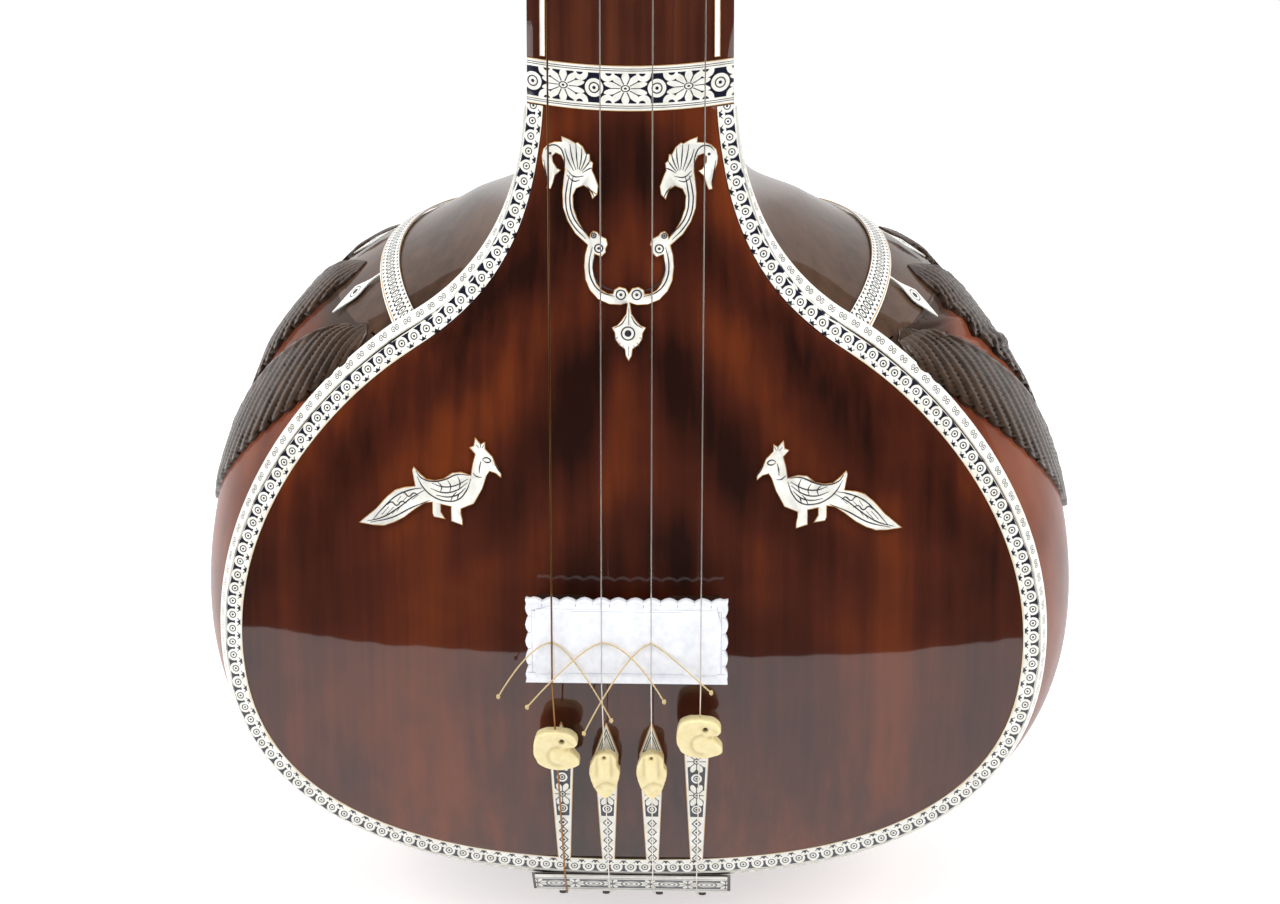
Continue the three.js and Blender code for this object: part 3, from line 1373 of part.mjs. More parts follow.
// Cotton threads: each passes between one string and the bridge plate, and its ends
// stand off in front of the plate and of the neighbouring strings
const threadStand = clearance + threadDiameter / 2;
const threadRise = 1.5 * threadDiameter + 3 * clearance;
const threadShares = [
  { left: [0.267, 0.65, 1.7, 0], right: [0.292, 0.937, 1.45, -0.8] },
  { left: [0.368, 0.761, 1.35, 0.8], right: [0.31, 0.678, 1.9, 0.8] },
  { left: [0.332, 1.076, 1.5, 0.6], right: [0.297, 0.563, 1.15, 0.6] },
];

function threadRoute(i) {
  const peakX = stringSide(i) * bridgeSpacing;
  return steps(threadSteps).map((t) => {
    const u = 2 * t - 1;
    const [reach, drop, power, rise] = u < 0 ? threadShares[i].left : threadShares[i].right;
    const aside = u * reach * bridgeLength;
    const away = clamp(Math.abs(aside) / bridgeSpacing, 0, 1);
    const lift = threadStand + (1 + rise * away) * threadRise * THREE.MathUtils.smoothstep(away, 0, 1);
    return point(peakX + aside, plateTop - lift, bridgeLevel - drop * Math.abs(u) ** power * bridgeWidth);
  });
}

for (let i = 0; i < threadShares.length; i++) {
  add(instrument, `thread_${i + 1}`, tube(threadRoute(i), threadDiameter, stringSides), threadCotton);
}

// The origin is the gourd's lowest point, where it stands on the floor
const tanpura = new THREE.Group();
tanpura.name = "tanpura";
instrument.position.y = -(gourdFrontDepth + seatDepth);
tanpura.add(instrument);
tanpura.updateMatrixWorld(true);

export default tanpura;
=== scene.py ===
# %% [markdown]
# # A tanpura, dressed on its CAD frame
# The CAD model gives every piece of the instrument its real place. This lesson adds what the eye
# notices: smooth shellac over stained wood, etched inlays, carved leaves, bone and cotton. The CAD
# frame is loaded first.

# %% Load the frame
import json
import math

import bmesh
import bpy
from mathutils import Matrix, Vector
from mathutils.bvhtree import BVHTree


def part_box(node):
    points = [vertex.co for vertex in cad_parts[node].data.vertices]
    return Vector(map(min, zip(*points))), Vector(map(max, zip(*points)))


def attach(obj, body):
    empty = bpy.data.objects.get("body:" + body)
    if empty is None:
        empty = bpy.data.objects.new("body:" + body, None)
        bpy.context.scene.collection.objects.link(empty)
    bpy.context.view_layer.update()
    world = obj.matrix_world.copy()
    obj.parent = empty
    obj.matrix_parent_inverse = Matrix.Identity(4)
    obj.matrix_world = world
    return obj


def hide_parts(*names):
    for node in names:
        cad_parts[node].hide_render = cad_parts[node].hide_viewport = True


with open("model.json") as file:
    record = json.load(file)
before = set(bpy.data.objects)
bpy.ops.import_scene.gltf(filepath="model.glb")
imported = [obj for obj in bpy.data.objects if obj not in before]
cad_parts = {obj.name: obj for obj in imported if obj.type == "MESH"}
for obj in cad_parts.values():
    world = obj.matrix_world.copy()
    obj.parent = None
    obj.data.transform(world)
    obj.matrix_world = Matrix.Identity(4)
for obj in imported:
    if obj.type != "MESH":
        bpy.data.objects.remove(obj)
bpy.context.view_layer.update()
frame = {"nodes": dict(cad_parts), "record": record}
nodes = frame["nodes"]
body_of = {n: b for b, members in frame["record"]["behaviour"]["bodies"].items() for n in members}
slot_of = {s["node"]: s["material_slot"] for s in frame["record"]["subparts"]}
MM = 0.001
BOARD_Y = -0.1073

# %% [markdown]
# The photograph looks at the body from the front, a little from above and from the right, with a
# long lens. The camera's distance of about 1.25 m is an estimate from the photograph's perspective.
# Its axis goes through the middle of the picture.

# %% Camera
LENS_MM = 74.36
SENSOR_MM = 36
CAMERA_PLACE = Vector((0.0524, -1.3518, 0.5352))
CAMERA_BACK = Vector((0.0374, -0.9737, 0.2250))


def put(name, data):
    piece = bpy.data.objects.new(name, data)
    bpy.context.scene.collection.objects.link(piece)
    return piece


camera_data = bpy.data.cameras.new("camera")
camera_data.lens = LENS_MM
camera_data.sensor_width = SENSOR_MM
camera = put("camera", camera_data)
camera.location = CAMERA_PLACE
camera.rotation_euler = CAMERA_BACK.to_track_quat("Z", "Y").to_euler()
bpy.context.scene.camera = camera
print("camera at", tuple(round(c, 3) for c in camera.location))

# %% [markdown]
# Under three of the strings' paths over the bridge lies a cotton thread, the jiva, which makes the
# strings buzz. It is slim and a little stiff, so its ends stand off the bridge and finish in small
# knots. The route repeats the CAD one: the thread rises from under its string to pass in front of
# its neighbours. A curve with a round bevel follows it, and is made a mesh.

# %% The threads' route
PLATE_TOP = BOARD_Y - 0.04783
BRIDGE_LEVEL = 0.166
BRIDGE_LENGTH = 0.096
BRIDGE_WIDTH = 0.041
STRING_PITCH = 0.0235
THREAD_DIAMETER = 0.0007
THREAD_STEPS = 20
THREAD_RISE = 0.00195
GAP = 0.0003
# for each thread, left and right: reach, drop, power of the curve, and rise over its neighbour
THREAD_SHARES = [
    ((0.267, 0.65, 1.7, 0), (0.292, 0.937, 1.45, -0.8)),
    ((0.368, 0.761, 1.35, 0.8), (0.31, 0.678, 1.9, 0.8)),
    ((0.332, 1.076, 1.5, 0.6), (0.297, 0.563, 1.15, 0.6)),
]


def eased(t):
    return t * t * (3 - 2 * t)


def thread_route(i):
    route = []
    for k in range(THREAD_STEPS + 1):
        u = 2 * k / THREAD_STEPS - 1
        reach, drop, power, rise = THREAD_SHARES[i][0 if u < 0 else 1]
        aside = u * reach * BRIDGE_LENGTH
        away = min(abs(aside) / STRING_PITCH, 1)
        lift = GAP + THREAD_DIAMETER / 2 + (1 + rise * away) * THREAD_RISE * eased(away)
        x = (i - 1.5) * STRING_PITCH + aside
        z = BRIDGE_LEVEL - drop * abs(u) ** power * BRIDGE_WIDTH
        route.append(Vector((x, PLATE_TOP - lift, z)))
    return route


def route_length(route):
    return sum((b - a).length for a, b in zip(route, route[1:]))


print("threads of", [round(route_length(thread_route(i)) * 1000, 1) for i in range(3)], "mm")

# %% Cotton threads and their knots
KNOT_RADIUS = 0.0009


def select_only(piece):
    bpy.ops.object.select_all(action="DESELECT")
    piece.select_set(True)
    bpy.context.view_layer.objects.active = piece


def primitive(add_it, name, **settings):
    bpy.ops.object.select_all(action="DESELECT")
    add_it(**settings)
    piece = bpy.context.object
    piece.name = name
    return piece


def round_curve(name, diameter, roundness, steps):
    curve = bpy.data.curves.new(name, "CURVE")
    curve.dimensions = "3D"
    curve.bevel_depth = diameter / 2
    curve.bevel_resolution = roundness
    curve.resolution_u = steps
    return curve


def curve_to_mesh(curve):
    select_only(put(curve.name, curve))
    bpy.ops.object.convert(target="MESH")
    return bpy.context.object


def thread_knot(name, place):
    knot = primitive(bpy.ops.mesh.primitive_uv_sphere_add, name, segments=12, ring_count=8,
                     radius=KNOT_RADIUS, location=place)
    bpy.ops.object.mode_set(mode="EDIT")
    bpy.ops.transform.resize(value=(1, 1, 1.4))
    bpy.ops.transform.vertex_random(offset=0.0003, uniform=0.5, seed=4)
    bpy.ops.object.mode_set(mode="OBJECT")
    bpy.ops.object.transform_apply(location=True, rotation=True, scale=True)
    bpy.ops.object.shade_smooth()
    return knot


cotton_pieces = []
for i in range(3):
    route = thread_route(i)
    curve = round_curve(f"cotton_thread_{i + 1}", THREAD_DIAMETER, 3, 4)
    curve.use_fill_caps = True
    spline = curve.splines.new("POLY")
    spline.points.add(len(route) - 1)
    for p, place in zip(spline.points, route):
        p.co = (*place, 1)
    thread = curve_to_mesh(curve)
    bpy.ops.object.shade_smooth()
    pair = [thread_knot(f"thread_end_{i + 1}{end}", at) for end, at in zip("ab", (route[0], route[-1]))]
    for piece in [thread, *pair]:
        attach(piece, f"thread_{i + 1}")
    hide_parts(f"thread_{i + 1}")
    cotton_pieces += [thread, *pair]
    print(thread.name, len(thread.data.polygons), "faces")

# %% [markdown]
# Every finish is a network of shader nodes. One function adds a node, sets it and links it, and one
# turns a colour, written the way a screen shows it, into the linear values that light works with.
# Marks are numbers from 0 to 1 that say where a colour lies, and are joined like shapes.

# %% Helpers for finishes
MATH = "ShaderNodeMath"
VECTOR = "ShaderNodeVectorMath"
MIX = "ShaderNodeMix"
tree = None


def linear(hex_colour):
    parts = [int(hex_colour[k:k + 2], 16) / 255 for k in (0, 2, 4)]
    return (*[p / 12.92 if p <= 0.04045 else ((p + 0.055) / 1.055) ** 2.4 for p in parts], 1)


def add(kind, *inputs, out=0, **settings):
    node = tree.nodes.new(kind)
    for key, value in settings.items():
        setattr(node, key, value)
    for place, value in enumerate(inputs):
        if isinstance(value, bpy.types.NodeSocket):
            tree.links.new(value, node.inputs[place])
        elif value is not None:
            node.inputs[place].default_value = value
    return node.outputs[out]


def new_finish(name, rough, metal=0.0, coat=0.0, coat_rough=0.03):
    global tree
    finish = bpy.data.materials.new(name)
    finish.use_nodes = True
    tree = finish.node_tree
    shader = tree.nodes["Principled BSDF"]
    shader.inputs["Roughness"].default_value = rough
    shader.inputs["Metallic"].default_value = metal
    shader.inputs["Coat Weight"].default_value = coat
    shader.inputs["Coat Roughness"].default_value = coat_rough
    return finish, shader


def dress(piece, finish):
    piece.data.materials.clear()
    piece.data.materials.append(finish)


def mottled(place, scale, detail, rough, low, high, start=0.0, end=1.0):
    spots = add("ShaderNodeTexNoise", place, None, scale, detail, rough)
    tint = add("ShaderNodeValToRGB", spots)
    for stop, colour, at in zip(tint.node.color_ramp.elements, (low, high), (start, end)):
        stop.position = at
        stop.color = linear(colour)
    return tint, spots


def paint(shader, colour, *coats):
    for mark, over in coats:
        if mark is not None:
            colour = add(MIX, mark, None, None, None, None, None, colour, linear(over), out=2,
                         data_type="RGBA")
    tree.links.new(colour, shader.inputs["Base Color"])


def any_of(*marks):
    found = marks[0]
    for mark in marks[1:]:
        found = add(MATH, found, mark, operation="MAXIMUM")
    return found


def all_of(*marks):
    found = marks[0]
    for mark in marks[1:]:
        found = add(MATH, found, mark, operation="MULTIPLY")
    return found


def none_of(*marks):
    return add(MATH, 1.0, any_of(*marks), operation="SUBTRACT")


# %% [markdown]
# The wood is toon, stained and polished with many thin coats of shellac. Shellac is clear and very
# smooth, so it is a coat over the stained grain. The grain runs along the neck: noise stretched many
# times longer than wide gives its streaks, and a second, large noise gives the darker clouds that
# hand staining leaves. A wide, faint bump keeps the reflections from looking like those of glass.
# The board also carries painted sheen: bands of lighter and darker colour slant across it and fade out
# towards its lower half, and it is painted a little darker along its middle. The dark fittings and the
# bare wood inside the rim are the same network with other colours.

# %% The board's painted sheen
SHEEN_PITCH = 0.058
SHEEN_ACROSS = 0.78
SHEEN_UP = 0.62
SHEEN_DRIFT = 0.05
SHEEN_FADE = (0.17, 0.25, 0.0, 0.09)
DARK_MIDDLE = (0.006, 0.06, -0.07, 0.0)


# Painted sheen: slanting bands of lighter and darker colour, strongest high on the board, and a darker
# middle.
def painted_sheen_and_middle_of_the_board(place):
    parts = add("ShaderNodeSeparateXYZ", place)
    height = parts.node.outputs[2]
    side = add(MATH, parts, operation="ABSOLUTE")
    low = add(MATH, height, SHEEN_UP, operation="MULTIPLY")
    slanted = add(MATH, side, SHEEN_ACROSS, low, operation="MULTIPLY_ADD")
    drift = add("ShaderNodeTexNoise", place, None, 9.0, 2.0, 0.5)
    slanted = add(MATH, drift, SHEEN_DRIFT, slanted, operation="MULTIPLY_ADD")
    turns = add(MATH, slanted, 2 * math.pi / SHEEN_PITCH, operation="MULTIPLY")
    bands = add(MATH, turns, operation="SINE")
    fade = add("ShaderNodeMapRange", height, *SHEEN_FADE, interpolation_type="SMOOTHSTEP")
    painted_sheen = add(MATH, bands, fade, operation="MULTIPLY")
    middle = add("ShaderNodeMapRange", side, *DARK_MIDDLE, interpolation_type="SMOOTHSTEP")
    return add(MATH, painted_sheen, middle, operation="ADD")


print("curl bands", round(SHEEN_PITCH / math.hypot(SHEEN_ACROSS, SHEEN_UP) * 1000), "mm apart")

# %% Stained wood under shellac
GRAIN = (1, 1, 0.03)


def stained_wood(name, dark, middle, warm, streak_mm, cloud, along=GRAIN, with_painted_sheen=False, coat=1.0):
    finish, shader = new_finish(name, rough=0.5, coat=coat, coat_rough=0.035)
    shader.inputs["Specular IOR Level"].default_value = 0.1
    place = add("ShaderNodeTexCoord", out=3)
    stretched = add("ShaderNodeMapping", place, None, None, along)
    streaks = add("ShaderNodeTexNoise", stretched, None, 1000 / (streak_mm * 4), 5.0, 0.6)
    broad = add("ShaderNodeTexNoise", stretched, None, 1000 / (streak_mm * 18), 3.0, 0.5)
    clouds = add("ShaderNodeTexNoise", place, None, 14.0, 3.0, 0.55)
    both = add(MIX, 0.5, None, streaks, broad)
    both = add(MIX, cloud, None, both, clouds)
    if with_painted_sheen:
        # The board's painted sheen and darker middle are added to the wood's colour.
        both = add(MATH, both, painted_sheen_and_middle_of_the_board(place), operation="ADD")
    ramp = add("ShaderNodeValToRGB", both)
    stops = ramp.node.color_ramp
    stops.elements[0].position = 0.35
    stops.elements[0].color = linear(dark)
    stops.elements[1].position = 0.74
    stops.elements[1].color = linear(warm)
    stops.elements.new(0.5).color = linear(middle)
    tree.links.new(ramp, shader.inputs["Base Color"])
    fine = add("ShaderNodeBump", 0.05, 0.0003, None, streaks)
    tree.links.new(fine, shader.inputs["Normal"])
    waves = add("ShaderNodeBump", 0.12, 0.002, None, clouds)
    tree.links.new(waves, shader.inputs["Coat Normal"])
    print(name, len(tree.nodes), "shader nodes")
    return finish


board_finish = stained_wood("toon_soundboard_shellac", "240c05", "481c0d", "763411", 2.2, 0.35,
                            with_painted_sheen=True)
neck_finish = stained_wood("toon_neck_shellac", "220c07", "462014", "6f3a20", 1.6, 0.25)
throat_finish = stained_wood("toon_throat_shellac", "33231a", "4e392c", "654c3a", 1.6, 0.4, coat=0.7)
dark_wood_finish = stained_wood("ebonised_wood", "1a120e", "261a14", "34241b", 0.8, 0.3)
liner_finish = stained_wood("bare_liner_wood", "8a6640", "a98258", "bd9669", 1.0, 0.3)

# %% [markdown]
# The gourd's shell has no grain, so its mottling isn't stretched, and its shine is softer. Round the
# throat it carries the throat's dark stain: a mark that is full near the throat's axis, and only on
# the upper side, lays that colour over the skin.

# %% The gourd's skin
THROAT_Y = -0.045
STAIN_EDGE = (0.166, 0.150, 0.0, 1.0)
STAIN_LOWEST = 0.2

gourd_finish = stained_wood("gourd_shell_shellac", "4e2415", "733a25", "8d5034", 6, 0.7, (1, 1, 1),
                            coat=0.28)
shader = tree.nodes["Principled BSDF"]
skin = shader.inputs["Base Color"].links[0].from_socket
place = add("ShaderNodeTexCoord", out=3)
from_axis = add(VECTOR, place, (0, -THROAT_Y, 0), operation="ADD")
flat = add(VECTOR, from_axis, (1, 1, 0), operation="MULTIPLY")
reach = add(VECTOR, flat, out=1, operation="LENGTH")
up = add("ShaderNodeSeparateXYZ", place).node.outputs[2]
near = add("ShaderNodeMapRange", reach, *STAIN_EDGE, interpolation_type="SMOOTHSTEP")
stain = all_of(near, add(MATH, up, STAIN_LOWEST, operation="GREATER_THAN"))
paint(shader, skin, (stain, "3c2d26"))
print("stained within", STAIN_EDGE[0], "m of the throat's axis")

# %% [markdown]
# The inlays are sheet celluloid, etched by hand. The etched lines are filled with blue-black ink,
# and the glue line around each inlay shows as an orange-brown hair. Each pattern is drawn by the
# finish itself: distances in millimetres, compared with the size of a ring, a dot or a tooth.

# %% Etching on celluloid
INK = "15172a"
IVORY_LOW = "dfddd2"
IVORY_HIGH = "f3f2ec"
GLUE = "c4955a"
PALE_GLUE = "dccbab"
HERE = (0, 0, 0)


def celluloid(name):
    return new_finish(name, rough=0.34, coat=0.5, coat_rough=0.06)


def repeated(value, pitch, shift=0.0):
    moved = add(MATH, value, shift, operation="ADD")
    return add(MATH, moved, pitch / 2, -pitch / 2, operation="WRAP")


def between(value, low, high):
    return all_of(add(MATH, value, low, operation="GREATER_THAN"),
                  add(MATH, value, high, operation="LESS_THAN"))


def within(cell, centre, radius):
    away = add(VECTOR, cell, centre, out=1, operation="DISTANCE")
    return add(MATH, away, radius, operation="LESS_THAN")


def ringed_dot(cell, centre, ring, line, dot):
    away = add(VECTOR, cell, centre, out=1, operation="DISTANCE")
    engraved = add(MATH, away, ring, line / 2, operation="COMPARE")
    return any_of(engraved, add(MATH, away, dot, operation="LESS_THAN"))


def flower(cell, centre, petals, reach, line):
    moved = add(VECTOR, cell, centre, operation="SUBTRACT")
    away = add(VECTOR, moved, out=1, operation="LENGTH")
    side = add("ShaderNodeSeparateXYZ", moved)
    turn = add(MATH, side.node.outputs[1], side, operation="ARCTAN2")
    turn = add(MATH, turn, petals / 2, operation="MULTIPLY")
    lobe = add(MATH, add(MATH, turn, operation="SINE"), operation="ABSOLUTE")
    tip = add(MATH, lobe, 0.45 * reach, 0.55 * reach, operation="MULTIPLY_ADD")
    from_ray = add(MATH, away, lobe, operation="MULTIPLY")
    return all_of(add(MATH, away, tip, operation="LESS_THAN"),
                  add(MATH, from_ray, line * petals / 4, operation="GREATER_THAN"))


def folded_cell(beat, across):
    folded = add(MATH, add(MATH, beat, operation="ABSOLUTE"), 1.5, operation="MULTIPLY")
    return add("ShaderNodeCombineXYZ", folded, across)


def object_mm(centre):
    place = add("ShaderNodeTexCoord", out=3)
    moved = add(VECTOR, place, [-c * MM for c in centre], operation="ADD")
    return place, add(VECTOR, moved, (1000, 1000, 1000), operation="MULTIPLY")


def etch(shader, place, ink=None, glue=None, glue_colour=GLUE):
    ivory = mottled(place, 160.0, 4.0, 0.65, IVORY_LOW, IVORY_HIGH, 0.3, 0.6)[0]
    paint(shader, ivory, (glue, glue_colour), (ink, INK))
    if ink is not None:
        cut = add("ShaderNodeBump", 0.4, 0.0001, None, ink, invert=True)
        tree.links.new(cut, shader.inputs["Normal"])
    print(len(tree.nodes), "shader nodes draw this celluloid")


# %% [markdown]
# The two bindings run along the rim, so their patterns read a UV map in millimetres: along the rim,
# and across the band. The front one has ringed dots on white lobes, dark teeth between the lobes,
# and a small plant between each two rings. The side one has a row of double ovals.

# %% Front binding: ringed dots between teeth, and small plants
BINDING_PITCH = 7.1
RING_PLACE = (0, 3.3, 0)
LOBE_RADIUS = 3.0
TEETH = (0.45, 4.5)
PLANT_FOOT = 7.35


def run_spot():
    along = add("ShaderNodeSeparateXYZ", add("ShaderNodeUVMap", uv_map="run"))
    return repeated(along, BINDING_PITCH), along.node.outputs[1]


binding_finish, shader = celluloid("etched_celluloid_binding")
place = add("ShaderNodeTexCoord", out=3)
beat, across = run_spot()
cell = add("ShaderNodeCombineXYZ", beat, across)
rings = ringed_dot(cell, RING_PLACE, 1.5, 0.5, 0.55)
teeth = all_of(none_of(within(cell, RING_PLACE, LOBE_RADIUS)), between(across, *TEETH))
aside = add(MATH, BINDING_PITCH / 2, add(MATH, beat, operation="ABSOLUTE"), operation="SUBTRACT")
height = add(MATH, PLANT_FOOT, across, operation="SUBTRACT")
taper = add(MATH, height, 0.75, aside, operation="MULTIPLY_ADD")
stem = add(MATH, taper, 1.5, operation="LESS_THAN")
fan = add(MATH, height, 1.1, 0.2, operation="MULTIPLY_ADD")
leaflets = all_of(add(MATH, aside, fan, 0.32, operation="COMPARE"),
                  add(MATH, height, 1.6, operation="LESS_THAN"))
plant = all_of(any_of(stem, leaflets), add(MATH, height, 0.0, operation="GREATER_THAN"))
edge = add(MATH, across, 7.75, operation="GREATER_THAN")
etch(shader, place, any_of(rings, teeth, plant), edge, PALE_GLUE)

# %% Side binding: a row of small double ovals
side_finish, shader = celluloid("etched_celluloid_side_binding")
place = add("ShaderNodeTexCoord", out=3)
beat, across = run_spot()
ovals = ringed_dot(folded_cell(beat, across), (1.6, 3.4, 0), 1.3, 0.45, 0.45)
edge = add(MATH, across, 6.6, operation="GREATER_THAN")
etch(shader, place, ovals, edge)

# %% [markdown]
# The throat band is a crescent round the throat's axis, so its pattern is drawn by angle and radius:
# eights across it, a row of teeth along each side, and an eye on each stem that hangs from it.

# %% Throat band: eights, teeth and eyes
BAND_RADIUS = 122.0
BAND_PITCH = 6.2
LEAF_FAN = 217.5
STEM_TURN = math.radians(LEAF_FAN / 10)
EYE_RADIUS = 139.5

band_finish, shader = celluloid("etched_celluloid_throat_band")
place, spot = object_mm((0, THROAT_Y / MM, 0))
flat = add(VECTOR, spot, (1, 1, 0), operation="MULTIPLY")
radius = add(VECTOR, flat, out=1, operation="LENGTH")
side = add("ShaderNodeSeparateXYZ", flat)
turn = add(MATH, side, side.node.outputs[1], operation="ARCTAN2")
arc = add(MATH, turn, BAND_RADIUS, operation="MULTIPLY")
across = add(MATH, radius, BAND_RADIUS, operation="SUBTRACT")
off_centre = add(MATH, across, operation="ABSOLUTE")
eights = ringed_dot(folded_cell(repeated(arc, BAND_PITCH), across), (2.2, 0, 0), 1.9, 0.75, 0.6)
beat = add(MATH, repeated(arc, BAND_PITCH / 2), operation="ABSOLUTE")
slope = add(MATH, off_centre, 0.7, -0.7 * 2.6, operation="MULTIPLY_ADD")
teeth = all_of(add(MATH, beat, slope, operation="LESS_THAN"),
               add(MATH, off_centre, 3.9, operation="LESS_THAN"))
edge = add(MATH, off_centre, 4.5, 0.22, operation="COMPARE")
eye_turn = repeated(turn, STEM_TURN, STEM_TURN / 2)
eye_cell = add("ShaderNodeCombineXYZ", add(MATH, eye_turn, 140.0, operation="MULTIPLY"), radius)
eye = ringed_dot(eye_cell, (0, EYE_RADIUS, 0), 2.5, 0.45, 1.3)
etch(shader, place, any_of(eights, teeth, eye), edge)

# %% [markdown]
# The collar band sags like a smile. Flowers and ringed discs take turns on a dark ground, with small
# scrolls between them and two thin lines along each border.

# %% Collar band: flowers and ringed discs
COLLAR_MIDDLE = 426.5
COLLAR_HALF = 48.5
COLLAR_SAG = 3.0
FLOWER_PITCH = 29.3
FLOWER_SHIFT = 1.7

collar_finish, shader = celluloid("etched_celluloid_collar")
place, spot = object_mm((0, 0, COLLAR_MIDDLE))
parts = add("ShaderNodeSeparateXYZ", spot)
squared = add(MATH, parts, parts, operation="MULTIPLY")
sag = add(MATH, squared, -COLLAR_SAG / COLLAR_HALF ** 2, COLLAR_SAG, operation="MULTIPLY_ADD")
up = add(MATH, parts.node.outputs[2], sag, operation="ADD")
off_centre = add(MATH, up, operation="ABSOLUTE")
beat = repeated(parts, FLOWER_PITCH, FLOWER_SHIFT)
cell = add("ShaderNodeCombineXYZ", add(MATH, beat, 0.72, operation="MULTIPLY"), up)
half_beat = repeated(parts, FLOWER_PITCH, FLOWER_SHIFT + FLOWER_PITCH / 2)
disc_cell = add("ShaderNodeCombineXYZ", half_beat, up)
corner = add("ShaderNodeCombineXYZ", add(MATH, half_beat, operation="ABSOLUTE"), off_centre)
scrolls = all_of(within(corner, (6.2, 6.4, 0), 3.4), none_of(within(corner, (6.8, 7.2, 0), 1.6)))
light = any_of(flower(cell, HERE, 10, 7.6, 0.4), within(cell, HERE, 1.9), within(disc_cell, HERE, 4.3),
               scrolls)
ground = all_of(add(MATH, off_centre, 6.9, operation="LESS_THAN"), none_of(light))
marks = any_of(ringed_dot(cell, HERE, 1.4, 0.45, 0.5), ringed_dot(disc_cell, HERE, 2.3, 0.6, 0.8))
borders = any_of(*[add(MATH, off_centre, line, 0.17, operation="COMPARE") for line in (8.1, 9.0)])
edge = add(MATH, off_centre, 10.15, operation="GREATER_THAN")
etch(shader, place, any_of(ground, marks, borders), edge)

# %% [markdown]
# The four tail strips share one finish that repeats at their spacing. Each widens upwards and ends
# in a point: flowers and ringed dots on a dark ground above, a chain of leaves on white below, and
# nested lines in the point.

# %% Tail strips: flowers above, a chain of leaves below
STRIP_PITCH = 22.0
STRIP_FOOT, STRIP_FOOT_HALF = 39.6, 3.2
STRIP_SHOULDER, STRIP_SHOULDER_HALF = 100.6, 6.0
STRIP_TIP = 117.6
DARK_PART = (65.6, 103.0)
FLOWER_LEVELS = (97, 78)
DOT_LEVELS = ((87.5, 2.6), (69.8, 2.4))
CHAIN_PITCH = 5.2

strip_finish, shader = celluloid("etched_celluloid_strips")
place, spot = object_mm((STRIP_PITCH / 2, 0, 0))
parts = add("ShaderNodeSeparateXYZ", spot)
height = parts.node.outputs[2]
side = repeated(parts, STRIP_PITCH)
out = add(MATH, side, operation="ABSOLUTE")
widening = (STRIP_SHOULDER_HALF - STRIP_FOOT_HALF) / (STRIP_SHOULDER - STRIP_FOOT)
low_half = add(MATH, height, widening, STRIP_FOOT_HALF - STRIP_FOOT * widening,
               operation="MULTIPLY_ADD")
narrowing = STRIP_SHOULDER_HALF / (STRIP_TIP - STRIP_SHOULDER)
top_half = add(MATH, height, -narrowing, STRIP_TIP * narrowing, operation="MULTIPLY_ADD")
half = add(MATH, low_half, top_half, operation="MINIMUM")
from_edge = add(MATH, half, out, operation="SUBTRACT")
cell = add("ShaderNodeCombineXYZ", side, height)
blooms = [flower(cell, (0, level, 0), 8, 6.4, 0.45) for level in FLOWER_LEVELS]
hearts = [within(cell, (0, level, 0), 1.6) for level in FLOWER_LEVELS]
discs = [within(cell, (0, level, 0), size) for level, size in DOT_LEVELS]
ground = all_of(between(height, *DARK_PART), add(MATH, from_edge, 1.3, operation="GREATER_THAN"),
                none_of(*blooms, *hearts, *discs))
levels = [*FLOWER_LEVELS, *[level for level, size in DOT_LEVELS]]
centres = any_of(*[ringed_dot(cell, (0, level, 0), 1.35, 0.6, 0.6) for level in levels])
link = repeated(height, CHAIN_PITCH, -61.6)
link_cell = add("ShaderNodeCombineXYZ", side, link)
bent = add(MATH, add(MATH, link, operation="ABSOLUTE"), 0.9, out, operation="MULTIPLY_ADD")
lozenge = add(MATH, bent, 2.1, 0.38, operation="COMPARE")
chain = all_of(any_of(lozenge, within(link_cell, HERE, 0.65)),
               add(MATH, height, 64.4, operation="LESS_THAN"),
               add(MATH, from_edge, 0.9, operation="GREATER_THAN"))
lines = any_of(*[add(MATH, from_edge, line, 0.2, operation="COMPARE") for line in (1.3, 2.3)])
nested = all_of(lines, add(MATH, height, 102.0, operation="GREATER_THAN"))
edge = add(MATH, from_edge, 0.35, operation="LESS_THAN")
etch(shader, place, any_of(ground, centres, chain, nested), edge)

# %% [markdown]
# The tailpiece's facing slopes at 45 degrees, so heights on it are stretched by the root of two.
# Ringed ovals and flowers take turns between two border lines.

# %% Tailpiece facing: ringed ovals between flowers
FACING_MIDDLE = 22.05
OVAL_PITCH = 19.0

facing_finish, shader = celluloid("etched_celluloid_facing")
place, spot = object_mm((0, 0, FACING_MIDDLE))
parts = add("ShaderNodeSeparateXYZ", spot)
up = add(MATH, parts.node.outputs[2], math.sqrt(2), operation="MULTIPLY")
off_centre = add(MATH, up, operation="ABSOLUTE")
flattened = add(MATH, repeated(parts, OVAL_PITCH), 0.62, operation="MULTIPLY")
oval_cell = add("ShaderNodeCombineXYZ", flattened, up)
ovals = any_of(ringed_dot(oval_cell, HERE, 3.1, 0.6, 0.6), ringed_dot(oval_cell, HERE, 1.8, 0.5, 0.0))
flower_cell = add("ShaderNodeCombineXYZ", repeated(parts, OVAL_PITCH, OVAL_PITCH / 2), up)
ground = all_of(add(MATH, off_centre, 5.4, operation="LESS_THAN"),
                none_of(within(oval_cell, HERE, 3.6), flower(flower_cell, HERE, 8, 5.4, 0.5)))
borders = add(MATH, off_centre, 6.8, 0.3, operation="COMPARE")
etch(shader, place, any_of(ground, ovals, borders))

# %% [markdown]
# The neck strips, the birds and the scroll are plain celluloid, mottled like old ivory. Their glue
# lines and etched lines are meshes, with a finish of their own: amber shellac and blue-black ink.

